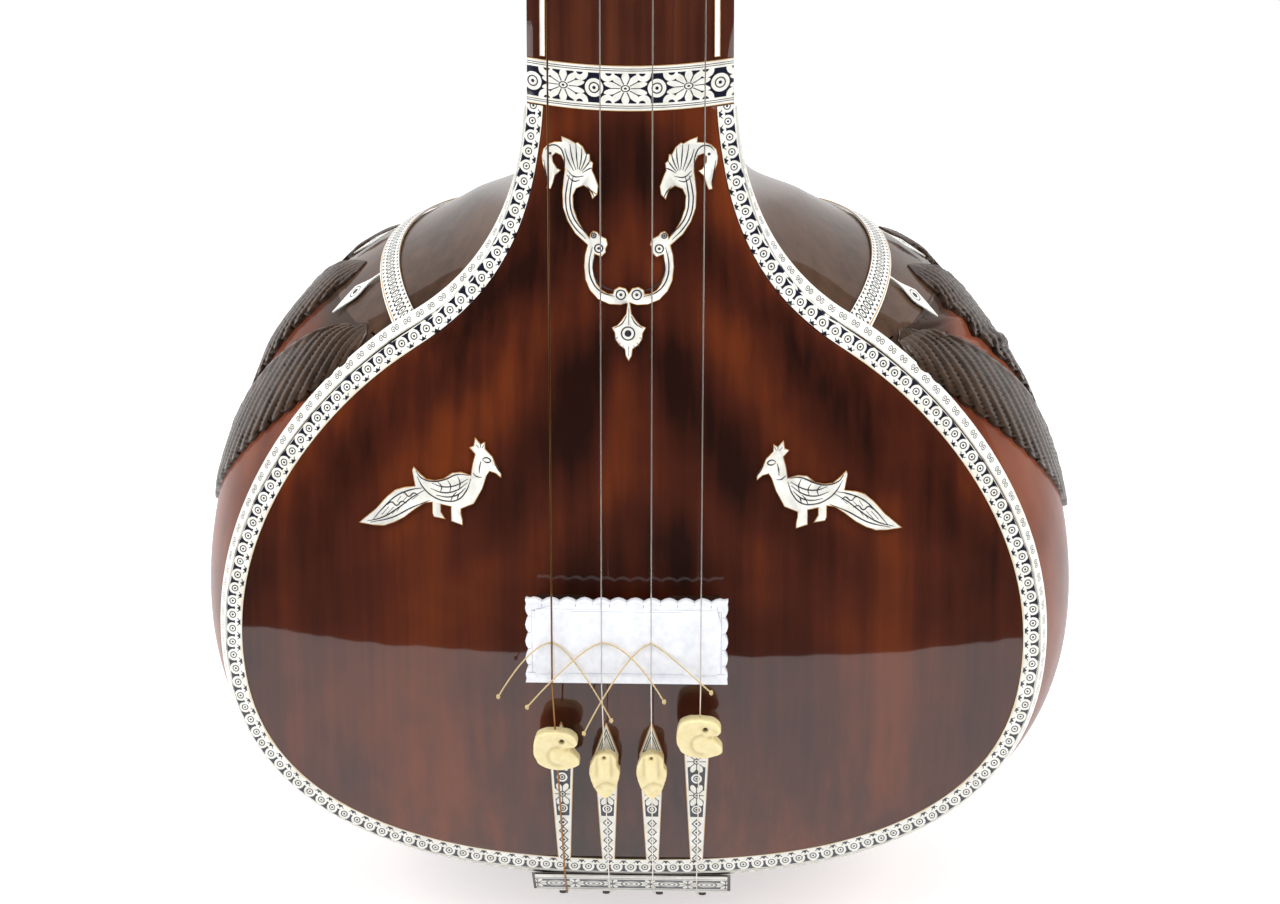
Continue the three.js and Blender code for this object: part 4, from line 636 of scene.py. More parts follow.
# %% Plain celluloid, glue and ink
plain_finish, shader = celluloid("plain_celluloid")
etch(shader, add("ShaderNodeTexCoord", out=3))
glue_finish, shader = new_finish("shellac_glue_line", rough=0.4, coat=0.5)
place = add("ShaderNodeTexCoord", out=3)
paint(shader, mottled(place, 400.0, 2.0, 0.5, "8a4e20", "d8a860")[0])
ink_finish, shader = new_finish("etching_ink", rough=0.5, coat=0.3)
place = add("ShaderNodeTexCoord", out=3)
paint(shader, mottled(place, 900.0, 2.0, 0.5, "10121e", "242636")[0])

# %% [markdown]
# The bridge plate is bleached bone, whiter and bluer than celluloid, and its frame groove is drawn in a
# darker grey as painted shade. The beads are carved bone that has yellowed: a little light goes into
# it, so its shadows stay warm, and what the knife pressed in is painted darker as shade. The nut is
# polished bone.

# %% Bone


def bone(name, low, high, rough, soft=0.0):
    finish, shader = new_finish(name, rough=rough, coat=0.3, coat_rough=0.1)
    place = add("ShaderNodeTexCoord", out=3)
    tint, grain = mottled(place, 260.0, 4.0, 0.6, low, high, 0.32, 0.62)
    paint(shader, tint)
    tree.links.new(add("ShaderNodeBump", 0.05, 0.0002, None, grain), shader.inputs["Normal"])
    shader.inputs["Subsurface Weight"].default_value = soft
    shader.inputs["Subsurface Radius"].default_value = (0.003, 0.002, 0.001)
    shader.inputs["Subsurface Scale"].default_value = 1.0
    print(name, len(tree.nodes), "shader nodes")
    return finish, shader, tint


bone_finish = bone("polished_bone", "d6d0ba", "e6e2d2", 0.35)[0]
plate_finish = bone("bleached_bone_plate", "e4e7ee", "f2f3f8", 0.3)[0]
# Painted shade: the plate's frame groove is a darker bluish grey bone.
groove_shade_finish = bone("bone_plate_groove_shade", "8d94ac", "a9b0c4", 0.4)[0]
bead_finish, shader, tint = bone("carved_yellowed_bone", "efdca2", "f6e7b4", 0.5, soft=0.06)
# Painted shade: what the knife pressed in is painted dark brown by its depth.
pressed = add("ShaderNodeAttribute", out=2, attribute_name="pressed")
paint(shader, tint, (add(MATH, pressed, 1.5, operation="POWER"), "5c3c1c"))

# %% [markdown]
# The strings are drawn wire, three of steel and one of bronze: bare metal with a fine, dull drawing
# mark. The cotton is matt, and slanting bands of painted shade give it the look of a twist.

# %% Wire and cotton


def wire(name, colour, rough):
    finish, shader = new_finish(name, rough=rough, metal=1.0)
    ramp = mottled(add("ShaderNodeTexCoord", out=3), 900.0, 2.0, 0.5, colour, colour)[0]
    ramp.node.color_ramp.elements[1].color = [min(1, c * 1.25) for c in linear(colour)[:3]] + [1]
    paint(shader, ramp)
    return finish


steel_finish = wire("drawn_steel_wire", "d2ccc4", 0.42)
brass_finish = wire("drawn_bronze_wire", "8a6238", 0.35)
cotton_finish, shader = new_finish("twisted_cotton", rough=0.9)
place = add("ShaderNodeTexCoord", out=3)
# Painted shade of the twist: slanting bands from dark to pale tan.
twist_shade = add("ShaderNodeTexWave", place, 900.0, 2.0, wave_type="BANDS", bands_direction="DIAGONAL")
ramp = add("ShaderNodeValToRGB", twist_shade)
ramp.node.color_ramp.elements[0].color = linear("a88a58")
ramp.node.color_ramp.elements[1].color = linear("e2cfa0")
paint(shader, ramp)
for piece in cotton_pieces:
    dress(piece, cotton_finish)
print(len(cotton_pieces), "cotton pieces dressed")

# %% [markdown]
# Each node of the CAD frame is dressed by its material slot, and the etched inlays by their own
# finish. The nodes that nothing replaces later, such as the strings and the head's fittings, are shown
# like this. Their curved sides are shaded smooth, and edges sharper than 32 degrees stay crisp.

# %% Finishes on the CAD nodes
finish_of_slot = {
    "gourd_lacquer": gourd_finish,
    "throat_lacquer": throat_finish,
    "neck_lacquer": neck_finish,
    "board_lacquer": board_finish,
    "liner_wood": liner_finish,
    "ivory_inlay": plain_finish,
    "bone": bone_finish,
    "plate_white": plate_finish,
    "dark_wood": dark_wood_finish,
    "bead_cream": bead_finish,
    "steel_wire": steel_finish,
    "brass_wire": brass_finish,
    "cotton": cotton_finish,
}
finish_of_node = {
    "board_binding": binding_finish,
    "side_binding": side_finish,
    "throat_band": band_finish,
    "collar_band": collar_finish,
    "tailpiece_facing": facing_finish,
    **{f"tail_strip_{i + 1}": strip_finish for i in range(4)},
}


def finish_for(node):
    return finish_of_node.get(node, finish_of_slot[slot_of[node]])


for name, piece in nodes.items():
    dress(piece, finish_for(name))
    select_only(piece)
    bpy.ops.object.shade_smooth_by_angle(angle=math.radians(32))
print(len(nodes), "nodes dressed")

# %% [markdown]
# The CAD mesh is a fair outline, but shellac shows every flat. A copy of the mesh is joined into
# quads, its true edges are creased, and a subdivision surface rounds it between them. The copy then
# takes over from its node: it rides on the same body and has the same finish.

# %% Smooth copies of the big forms
QUAD_FACE_ANGLE = math.radians(50)
QUAD_SHAPE_ANGLE = math.radians(60)
CREASE_ANGLE = math.radians(40)


def take_over(piece, node):
    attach(piece, body_of[node])
    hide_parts(node)


def edit_all(piece):
    select_only(piece)
    bpy.ops.object.mode_set(mode="EDIT")
    bpy.ops.mesh.select_all(action="SELECT")


def merged_copy(node):
    piece = put(f"{node}_smooth", nodes[node].data.copy())
    edit_all(piece)
    bpy.ops.mesh.remove_doubles(threshold=1e-6)
    bpy.ops.object.mode_set(mode="OBJECT")
    return piece


def apply_modifier(piece, kind, **settings):
    select_only(piece)
    modifier = piece.modifiers.new("step", kind)
    for key, value in settings.items():
        setattr(modifier, key, value)
    bpy.ops.object.modifier_apply(modifier="step")


def smooth_copy(node, levels):
    piece = merged_copy(node)
    edit_all(piece)
    bpy.ops.mesh.tris_convert_to_quads(face_threshold=QUAD_FACE_ANGLE, shape_threshold=QUAD_SHAPE_ANGLE)
    bpy.ops.mesh.select_all(action="DESELECT")
    bpy.ops.mesh.select_mode(type="EDGE")
    bpy.ops.mesh.edges_select_sharp(sharpness=CREASE_ANGLE)
    bpy.ops.transform.edge_crease(value=1)
    bpy.ops.mesh.select_mode(type="VERT")
    bpy.ops.object.mode_set(mode="OBJECT")
    apply_modifier(piece, "SUBSURF", levels=levels, render_levels=levels)
    bpy.ops.object.shade_smooth_by_angle(angle=math.radians(35))
    take_over(piece, node)
    dress(piece, finish_for(node))
    print(piece.name, len(piece.data.polygons), "faces")
    return piece


smooth = {}
for node in ["gourd_shell", "throat", "soundboard", "board_binding", "side_binding", "throat_band"]:
    smooth[node] = smooth_copy(node, 2)
for node in ["neck_trough", "neck_cover", "collar_band", "head", "peg_1", "peg_2", "peg_3", "peg_4"]:
    smooth[node] = smooth_copy(node, 1)

# %% [markdown]
# The bindings' patterns run along the rim, so these two pieces get a UV map in millimetres: how far
# along the rim a point lies from the tail, and how far in from the edge. The rim's line is read from
# the outer edge of the front binding.

# %% The rim's line
RIM_CENTRE = 0.2

rim_spots = {}
for vertex in nodes["board_binding"].data.vertices:
    x, y, z = vertex.co
    if x > -1e-5 and abs(y - BOARD_Y) < 0.0002:
        rim_spots[round(math.atan2(x, RIM_CENTRE - z), 3)] = Vector((x, z))
rim_line = [rim_spots[key] for key in sorted(rim_spots)]
rim_length = [0]
for a, b in zip(rim_line, rim_line[1:]):
    rim_length.append(rim_length[-1] + (b - a).length)
print("rim line:", len(rim_line), "points,", round(rim_length[-1] * 1000), "mm on each side")

# %% The bindings' UV maps
SIDE_BINDING_Y = -0.1056


def clamped(value):
    return max(0, min(1, value))


def along_rim(x, z):
    spot = Vector((abs(x), z))
    best = (math.inf, 0)
    for k in range(len(rim_line) - 1):
        run = rim_line[k + 1] - rim_line[k]
        share = clamped((spot - rim_line[k]).dot(run) / run.length_squared)
        gap = (spot - rim_line[k] - run * share).length
        if gap < best[0]:
            best = (gap, rim_length[k] + share * run.length)
    return best


def map_run(piece, depth_across):
    layer = piece.data.uv_layers.new(name="run")
    found = []
    for vertex in piece.data.vertices:
        x, y, z = vertex.co
        gap, run = along_rim(x, z)
        across = (y - SIDE_BINDING_Y) if depth_across else gap
        found.append((math.copysign(run, x) * 1000, across * 1000))
    for loop in piece.data.loops:
        layer.data[loop.index].uv = found[loop.vertex_index]
    print(piece.name, "has", len(found), "mapped points")


map_run(smooth["board_binding"], False)
map_run(smooth["side_binding"], True)

# %% [markdown]
# In the photograph the throat's shoulders run almost flat up to the neck and turn into it with a
# small curve. The CAD throat turns more widely there, so the copy's side is drawn in towards the rim.

# %% Tight shoulders beside the neck
SHOULDER_LOW = 0.363
SHOULDER_HIGH = 0.378


def rim_half_width(z):
    for a, b in zip(rim_line[len(rim_line) // 2:], rim_line[len(rim_line) // 2 + 1:]):
        if a.y <= z <= b.y:
            return a.x + (b.x - a.x) * (z - a.y) / (b.y - a.y)
    return rim_line[-1].x


drawn_in = 0
for vertex in smooth["throat"].data.vertices:
    x, y, z = vertex.co
    if z > SHOULDER_LOW and abs(x) > rim_half_width(z):
        edge = rim_half_width(z)
        keep = 1 - eased(min(1, (z - SHOULDER_LOW) / (SHOULDER_HIGH - SHOULDER_LOW)))
        vertex.co.x = math.copysign(edge + (abs(x) - edge) * keep, x)
        drawn_in += 1
print(drawn_in, "points of the shoulders drawn in")

# %% [markdown]
# Carved pieces have to lie on the body's double curve. A ray is sent at the body from outside, towards
# the throat's axis, and where it lands is the point on the skin. Its direction is two angles: the turn
# around the axis, and the lean away from it. A lean with a wanted property is found by halving.

# %% Rays onto the body
AXIS = Vector((0, THROAT_Y, 0.155))
RAY_LENGTH = 0.6


def surface_of(piece):
    piece.data.calc_loop_triangles()
    corners = [v.co.copy() for v in piece.data.vertices]
    return BVHTree.FromPolygons(corners, [tuple(t.vertices) for t in piece.data.loop_triangles])


carriers = [surface_of(smooth[node]) for node in ["gourd_shell", "throat"]]


def direction(turn, lean):
    return Vector((math.sin(lean) * math.cos(turn), math.sin(lean) * math.sin(turn), math.cos(lean)))


def outermost(carrier, out):
    return carrier.ray_cast(AXIS + out * RAY_LENGTH, -out, RAY_LENGTH)


def on_body(turn, lean):
    out = direction(turn, lean)
    hits = [hit for hit in [outermost(carrier, out) for carrier in carriers] if hit[0] is not None]
    if not hits:
        return carriers[0].find_nearest(AXIS + out * 0.2)[:2]
    return max(hits, key=lambda hit: (hit[0] - AXIS).length)[:2]


def radius_of(spot):
    return math.hypot(spot.x, spot.y - AXIS.y)


def halving(low, high, rounds, is_short):
    for _ in range(rounds):
        middle = (low + high) / 2
        if is_short(middle):
            low = middle
        else:
            high = middle
    return low


print("skin above the axis at", [round(c, 4) for c in on_body(math.pi / 2, 0.8)[0]])

# %% [markdown]
# The joint between throat and gourd is filled and stained over, so it doesn't show as a step. A narrow
# strip lies over it. It starts as a flat grid with a thickness, and is laid along the line where the
# throat stops being the outer surface.

# %% Filled joint between throat and gourd
SEAM_START = math.radians(-21)
SEAM_END = math.radians(201)
SEAM_HALF_LEAN = 0.011
SEAM_TOP = 0.00025
SEAM_BORDER = 0.00008
SEAM_UNDER = -0.0006


def thick_grid(name, across, along):
    piece = primitive(bpy.ops.mesh.primitive_grid_add, name, x_subdivisions=across,
                      y_subdivisions=along, size=2)
    top_count = len(piece.data.vertices)
    apply_modifier(piece, "SOLIDIFY", thickness=0.1, offset=-1)
    return piece, top_count


def face_outward(piece):
    edit_all(piece)
    bpy.ops.mesh.normals_make_consistent(inside=False)
    bpy.ops.object.mode_set(mode="OBJECT")
    bpy.ops.object.shade_smooth_by_angle(angle=math.radians(50))


def seam_lean(turn):
    def on_throat(lean):
        hits = [outermost(carrier, direction(turn, lean))[0] for carrier in carriers[:2]]
        gourd_reach, throat_reach = [(hit - AXIS).length if hit else 0 for hit in hits]
        return throat_reach > gourd_reach

    return halving(0.55, 1.15, 16, on_throat)


seam, top_count = thick_grid("throat_seam", 2, 220)
for k, vertex in enumerate(seam.data.vertices):
    w, v = vertex.co.x, (vertex.co.y + 1) / 2
    turn = SEAM_START + (SEAM_END - SEAM_START) * v
    lean = seam_lean(turn)
    ends = [on_body(turn, lean + side * SEAM_HALF_LEAN) for side in (-1, 1)]
    place = ends[0][0].lerp(ends[1][0], (w + 1) / 2)
    normal = (ends[0][1] + ends[1][1]).normalized()
    top = SEAM_TOP if abs(w) < 0.5 else SEAM_BORDER
    vertex.co = place + normal * (top if k < top_count else SEAM_UNDER)
face_outward(seam)
dress(seam, throat_finish)
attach(seam, "body")
carriers.append(surface_of(seam))
print(seam.name, len(seam.data.polygons), "faces")

# %% [markdown]
# The carved leaves lie on the gourd like large feathers: a rib along the far edge, and barbs that
# sweep from it to a notched near edge. Modelling each by hand would take long and let them differ, so
# the carving is a height that depends on the place in the leaf: v runs from its base to its tip, w
# across it from -1 to 1, and near from 0 at the rib's edge to 1 at the notched edge.

# %% The carving of a leaf
LEAF_END = math.radians(79)
LEAF_HALF_WIDTH = 0.028
LEAF_SEAT = 0.0007
LEAF_UNDER = -0.0008
LEAF_THICKNESS = 0.005
LEAF_SWEEP = 0.255
LEAF_WIDTHS = [
    (0, 0.02), (0.01, 0.2), (0.03, 0.36), (0.06, 0.5), (0.12, 0.68), (0.2, 0.83), (0.3, 0.94),
    (0.42, 1), (0.55, 1), (0.66, 0.95), (0.77, 0.81), (0.89, 0.47), (1, 0.04),
]
BARBS = 15
BARB_SLANT = 0.56
CUT_DEPTH = 0.0014
RIB_PLACE, RIB_WIDTH, RIB_HEIGHT = 0.12, 0.06, 0.25
NEAR_NOTCH, FAR_NOTCH = 0.13, 0.03


def share_at(table, t):
    for (a, low), (b, high) in zip(table, table[1:]):
        if t <= b:
            return low + (high - low) * (t - a) / (b - a)
    return table[-1][1]


def barb_height(v, near):
    beat = BARBS * (v - BARB_SLANT * near ** 0.85)
    return abs(math.sin(math.pi * beat)) ** 0.4


def cut_depth(v, near, barb):
    return CUT_DEPTH * (1 - barb) * min(1, near * 3) * min(1, 8 * (1 - v)) * min(1, v * 14)


def leaf_height(w, v, near):
    rim = 0.45 + 0.55 * math.sqrt(max(0, 1 - w * w))
    rib = RIB_HEIGHT * math.exp(-((near - RIB_PLACE) / RIB_WIDTH) ** 2)
    swell = (1 - 0.45 * v) * math.sin(min(1, v / 0.14) * math.pi / 2)
    return LEAF_SEAT + LEAF_THICKNESS * rim * (0.8 + rib) * swell


def leaf_place(turn, first, w, v, near, barb):
    lean = first + (LEAF_END - first) * v
    middle_turn = turn - LEAF_SWEEP * (turn - math.pi / 2) * v ** 0.85
    radius = radius_of(on_body(middle_turn, lean)[0])
    notch = 1 - NEAR_NOTCH * (1 - barb) * near ** 6 - FAR_NOTCH * (1 - barb) * (1 - near) ** 6
    swing = w * LEAF_HALF_WIDTH * share_at(LEAF_WIDTHS, v) * notch / radius
    return on_body(middle_turn + swing, lean + 0.25 * (1 - v) * abs(swing))


print("a leaf stands", round(leaf_height(0, 0.14, 0.5) * 1000, 1), "mm high near its base")

# %% [markdown]
# Each leaf starts as a flat grid with a thickness, because a grid gives even rows to carve. Every point
# of it is laid on the body and raised by the carving's height. How deep the knife went is kept as an
# attribute, and the finish paints the cuts darker with it, as painted shade. The wood is the throat's,
# but its shine is duller, because a cloth can't polish between the barbs.

# %% Carved leaves
LEAF_START_RADIUS = 0.136
LONG_STEPS = 170
CROSS_STEPS = 30
DARKEST_CUT = 0.0012


def start_lean(turn):
    def above_start(lean):
        return radius_of(on_body(turn, lean)[0]) < LEAF_START_RADIUS

    return halving(0.6, 1.2, 14, above_start)


def carved_leaf(i):
    turn = math.pi / 2 + ((i - 1) / 10 - 0.5) * math.radians(LEAF_FAN)
    near_side = -1 if i <= 6 else 1
    first = start_lean(turn)
    leaf, top_count = thick_grid(f"carved_leaf_{i}", CROSS_STEPS, LONG_STEPS)
    groove = leaf.data.attributes.new("groove", "FLOAT", "POINT")
    for k, vertex in enumerate(leaf.data.vertices):
        w, v = vertex.co.x, (vertex.co.y + 1) / 2
        near = (w * near_side + 1) / 2
        barb = barb_height(v, near)
        place, normal = leaf_place(turn, first, w, v, near, barb)
        lift = LEAF_UNDER
        if k < top_count:
            cut = cut_depth(v, near, barb)
            lift = leaf_height(w, v, near) - cut
            # the cut's depth, kept for the painted shade in the cuts
            groove.data[k].value = min(1, cut / DARKEST_CUT)
        vertex.co = place + normal * lift
    face_outward(leaf)
    take_over(leaf, f"leaf_{i}")
    return leaf


leaf_finish, shader = new_finish("carved_toon_leaf_shellac", rough=0.5, coat=0.6, coat_rough=0.1)
shader.inputs["Specular IOR Level"].default_value = 0.1
place = add("ShaderNodeTexCoord", out=3)
tint = mottled(place, 90.0, 4.0, 0.6, "2c2019", "4e3b2e", 0.3, 0.7)[0]
depth = add("ShaderNodeAttribute", out=2, attribute_name="groove")
# Painted shade: the cuts are painted near black by their depth.
paint(shader, tint, (depth, "0e0a08"))
for i in range(1, 12):
    leaf = carved_leaf(i)
    dress(leaf, leaf_finish)
print("leaves of", len(leaf.data.polygons), "faces each")

# %% [markdown]
# The scroll and the peacocks are cut from the same celluloid, and their inner lines are etched. Each
# line is drawn here as a smooth curve, made a mesh, and laid half sunk in the face of its inlay. The
# glue line is a narrow ring of faces around the front of each inlay.

# %% Glue lines and etched lines
LINE_END = 0.45
SUNK = 0.4
QUARTERS = [(1, 0), (0, 1), (-1, 0), (0, -1)]
GLUE_WIDTH = 0.00035


def glue_edge(piece, width):
    piece.data.materials.append(glue_finish)
    select_only(piece)
    bpy.ops.object.mode_set(mode="EDIT")
    bpy.ops.mesh.select_mode(type="FACE")
    bpy.ops.mesh.select_all(action="DESELECT")
    shape = bmesh.from_edit_mesh(piece.data)
    for face in shape.faces:
        face.select_set(face.normal.y < -0.6)
    bmesh.update_edit_mesh(piece.data)
    bpy.ops.mesh.inset(thickness=width, depth=0)
    shape = bmesh.from_edit_mesh(piece.data)
    for face in shape.faces:
        face.material_index = 0 if face.select else 1
    bmesh.update_edit_mesh(piece.data)
    bpy.ops.mesh.select_mode(type="VERT")
    bpy.ops.object.mode_set(mode="OBJECT")


def bezier(curve, spots):
    spline = curve.splines.new("BEZIER")
    spline.bezier_points.add(len(spots) - 1)
    for knob, (x, z) in zip(spline.bezier_points, spots):
        knob.co = (x * MM, 0, z * MM)
        knob.handle_left_type = knob.handle_right_type = "AUTO"
    return spline


def etched_lines(name, node, lines, rings, line_mm=0.7):
    face = surface_of(smooth[node])
    curve = round_curve(name, line_mm * MM, 1, 5)
    for line in lines:
        spline = bezier(curve, line)
        spline.bezier_points[0].radius = spline.bezier_points[-1].radius = LINE_END
    for x, z, radius in rings:
        bezier(curve, [(x + dx * radius, z + dz * radius) for dx, dz in QUARTERS]).use_cyclic_u = True
    piece = curve_to_mesh(curve)
    missed = 0
    for vertex in piece.data.vertices:
        x, y, z = vertex.co
        hit = face.ray_cast(Vector((x, -0.3, z)), Vector((0, 1, 0)))
        if hit[0] is None:
            hit = face.find_nearest(Vector((x, BOARD_Y - 0.02, z)))
            missed += 1
        vertex.co.y = hit[0].y + y * SUNK
    dress(piece, ink_finish)
    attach(piece, body_of[node])
    print(name, len(piece.data.polygons), "faces,", missed, "points over an edge")
    return piece


for node in ["scroll_ornament", "peacock_left", "peacock_right", "neck_strip_left", "neck_strip_right"]:
    smooth[node] = merged_copy(node)
    take_over(smooth[node], node)
    dress(smooth[node], plain_finish)
    glue_edge(smooth[node], GLUE_WIDTH)
    print(node, len(smooth[node].data.polygons), "faces with the glue line")

# %% [markdown]
# The lines were traced from enlarged cuttings of the photograph, a few points for each, so
# their places are in the pixels of a cutting. A cutting is known by the place of its corner on the
# instrument and by the size of one of its pixels, both in millimetres.

# %% Etched lines of the scroll
SCROLL_CUTTING = (-53.8, 378.3, 1 / 6.452, 0.1536)
CREST_CUTTING = (-60.85, 464.7, 1 / 6.36, 0.1558)
STEM_LINES = [
    [(166, -30), (158, 5), (154, 45), (162, 92), (184, 130), (216, 162)],
    [(178, -30), (171, 5), (167, 45), (175, 90), (196, 124), (222, 148)],
    [(236, 186), (226, 240), (235, 290), (265, 324), (302, 336)],
    [(244, 212), (238, 250), (248, 284), (272, 308), (300, 318)],
]
PENDANT_LINES = [
    [(347, 372), (347, 424)], [(340, 396), (326, 420), (304, 434)], [(354, 396), (368, 420), (390, 434)],
    [(322, 478), (312, 494)], [(332, 486), (326, 504)], [(347, 490), (347, 520)],
    [(362, 486), (368, 504)], [(372, 478), (382, 494)], [(314, 462), (302, 470)],
    [(380, 462), (392, 470)],
]
CREST_LINES = [
    [(222, 512), (205, 480), (194, 445)],
    [(228, 508), (216, 470), (210, 432)],
    [(234, 506), (230, 465), (228, 430)],
    [(238, 508), (245, 470), (246, 440)],
    [(242, 510), (256, 478), (262, 455)],
    [(246, 512), (264, 490), (273, 476)],
    [(248, 516), (268, 504), (280, 500)],
    [(202, 510), (222, 528), (252, 526)],
    [(200, 524), (222, 542), (240, 538)],
    [(134, 452), (150, 438), (175, 440), (192, 470), (194, 500)],
    [(130, 482), (136, 520), (142, 548)],
    [(262, 556), (275, 572), (284, 590)],
]
STEM_RINGS = [(240, 151, 1.1), (255, 190, 1.9), (323, 331, 2.2), (240, 151, 0.25), (255, 190, 0.35),
              (323, 331, 0.4)]
CREST_RINGS = [(150, 462, 0.4)]
PENDANT_RINGS = [(345, 450, 3.1), (345, 450, 1.3), (345, 450, 0.8), (345, 450, 0.3)]


def traced(spots, cutting):
    left, top, across, down = cutting
    return [(left + x * across, top - y * down, *rest) for x, y, *rest in spots]


def mirrored(spots):
    return [(-x, z, *rest) for x, z, *rest in spots]


left_lines = [traced(line, SCROLL_CUTTING) for line in STEM_LINES]
left_lines += [traced(line, CREST_CUTTING) for line in CREST_LINES]
right_lines = [mirrored(line) for line in left_lines]
hanging = [traced(line, SCROLL_CUTTING) for line in PENDANT_LINES]
left_rings = traced(STEM_RINGS, SCROLL_CUTTING) + traced(CREST_RINGS, CREST_CUTTING)
rings = left_rings + mirrored(left_rings) + traced(PENDANT_RINGS, SCROLL_CUTTING)
etched_lines("scroll_etching", "scroll_ornament", left_lines + right_lines + hanging, rings)

# %% Etched lines of the peacocks
PEACOCK_CUTTING = (-134.9 - 710 / 8.343, 257.4, 1 / 8.343, 1 / 7.768)
PEACOCK_LINES = [
    [(1250, 77), (1264, 69), (1280, 74), (1284, 81), (1268, 87), (1252, 79)],
    [(1212, 128), (1228, 141), (1250, 143)],
    [(1246, 82), (1240, 104), (1238, 128)],
    [(1243, 12), (1244, 32)], [(1226, 22), (1238, 35)], [(1258, 20), (1250, 34)],
    [(1300, 90), (1314, 112), (1326, 128)],
    [(980, 128), (1000, 152), (1050, 166), (1100, 156), (1150, 136), (1198, 138)],
    [(985, 150), (1010, 190), (1050, 222), (1100, 237), (1150, 231), (1185, 196), (1204, 150)],
    [(1045, 172), (1090, 184), (1140, 178), (1192, 152)],
    [(1040, 192), (1090, 206), (1140, 198), (1190, 166)],
    [(1062, 216), (1110, 222), (1150, 212), (1182, 186)],
    [(1070, 168), (1085, 184), (1080, 204)],
    [(1110, 160), (1122, 181), (1118, 202)],
    [(1150, 142), (1160, 168), (1154, 196)],
    [(1120, 240), (1132, 216), (1146, 202)],
    [(1148, 234), (1152, 216), (1158, 204)],
    [(778, 327), (840, 310), (905, 272), (965, 228), (1015, 200)],
    [(790, 331), (880, 309), (960, 268), (1035, 238)],
    [(800, 322), (850, 268), (900, 225), (960, 200), (1005, 192)],
    [(860, 262), (880, 250), (900, 262), (920, 246), (942, 252)],
    [(905, 222), (930, 212), (950, 226), (972, 212), (990, 222)],
    [(838, 300), (868, 268)], [(858, 298), (888, 268)], [(880, 296), (906, 268)],
    [(900, 284), (924, 256)], [(902, 248), (918, 226)], [(924, 246), (942, 228)],
    [(944, 244), (962, 228)], [(964, 238), (984, 222)],
]

left_bird = [traced(line, PEACOCK_CUTTING) for line in PEACOCK_LINES]
etched_lines("peacock_etching_left", "peacock_left", left_bird, [])
etched_lines("peacock_etching_right", "peacock_right", [mirrored(line) for line in left_bird], [])

# %% [markdown]
# The beads are carved with a knife, so their surface is uneven and their edges are soft. The outline
# of each is extruded to its thickness, remeshed finely and smoothed, and then the carving is pressed
# into its front: an eye and a curl on the two swans, finger-like ridges on the two buds.

# %% What the knife presses in


def dent(distance, width, depth):
    return depth * math.exp(-(distance / width) ** 2)


def swan_relief(a, b):
    eye = dent(math.hypot(0.75 * (a - 2.9), b - 6.0), 0.95, 3.4)
    brow = dent(b - 8.0 + 0.09 * (a - 2) ** 2, 0.7, 0.55) * clamped(a + 1)
    knob = math.hypot(a - 1.6, b + 2.4)
    valley = dent(knob - 5.4, 1.1, 0.9) * clamped((5 - a) / 4)
    mouth = dent((b - 1.4) * 1.2, 1.1, 1.5) * clamped((a - 2) / 4)
    crease = dent(a - 0.2 * b - 1.5, 0.45, 0.35) * max(0, 1 - knob / 4)
    return eye + brow + valley + mouth + crease - dent(knob, 3.6, 1.3)


def bud_relief(a, b):
    above = clamped((b + 2) / 4)
    finger = dent(a, 1.5, 1.5) * above * clamped((11 - b) / 4)
    sides = (dent(a - 3.3, 0.9, 0.8) + dent(a + 3.5, 0.8, 0.7)) * above
    waist = dent(b + 3.4 + 0.12 * (a - 1) ** 2, 0.9, 0.8)
    hole = dent(math.hypot(a, b - 11.4), 0.75, 3.0)
    lumps = dent(math.hypot(a + 2.0, b + 6.5), 1.3, 0.6) + dent(math.hypot(a - 2.4, b + 8), 1.0, 0.5)
    return sides + waist + hole + lumps - finger


print("the swan's eye is", round(swan_relief(2.9, 6.0), 1), "mm deep")

# %% Carved beads
SWAN_OUTLINE = [
    (-10.7, 4.6), (-9.1, 9.3), (-4.3, 11.3), (1.3, 11.3), (6.9, 10.3), (10.1, 7.1), (10.6, 3.8), (8.5, 1.9),
    (5.4, 1.3), (8.3, -1.0), (11.1, -5.0), (11.3, -8.2), (7.7, -9.8), (3.7, -11.1), (-0.3, -11.3),
    (-5.1, -10.1), (-9.1, -7.4), (-11.1, -1.8),
]
BUD_OUTLINE = [
    (-2.6, 13.3), (0.3, 13.9), (3.8, 13.3), (6.2, 10.1), (5.8, 6.3), (7.6, 2.9), (7.1, -1.1), (5.4, -7.5),
    (3.2, -11.5), (0, -13.9), (-2.9, -11.5), (-5.3, -7.5), (-6.9, -1.9), (-7.6, 2.1), (-7.1, 6.1),
    (-6.0, 8.5), (-4.8, 11.4),
]
STRING_SLOPE = 0.42
VOXEL = 0.0005
DARKEST_PRESS = 2.4
CARVED_WAVE = 0.1


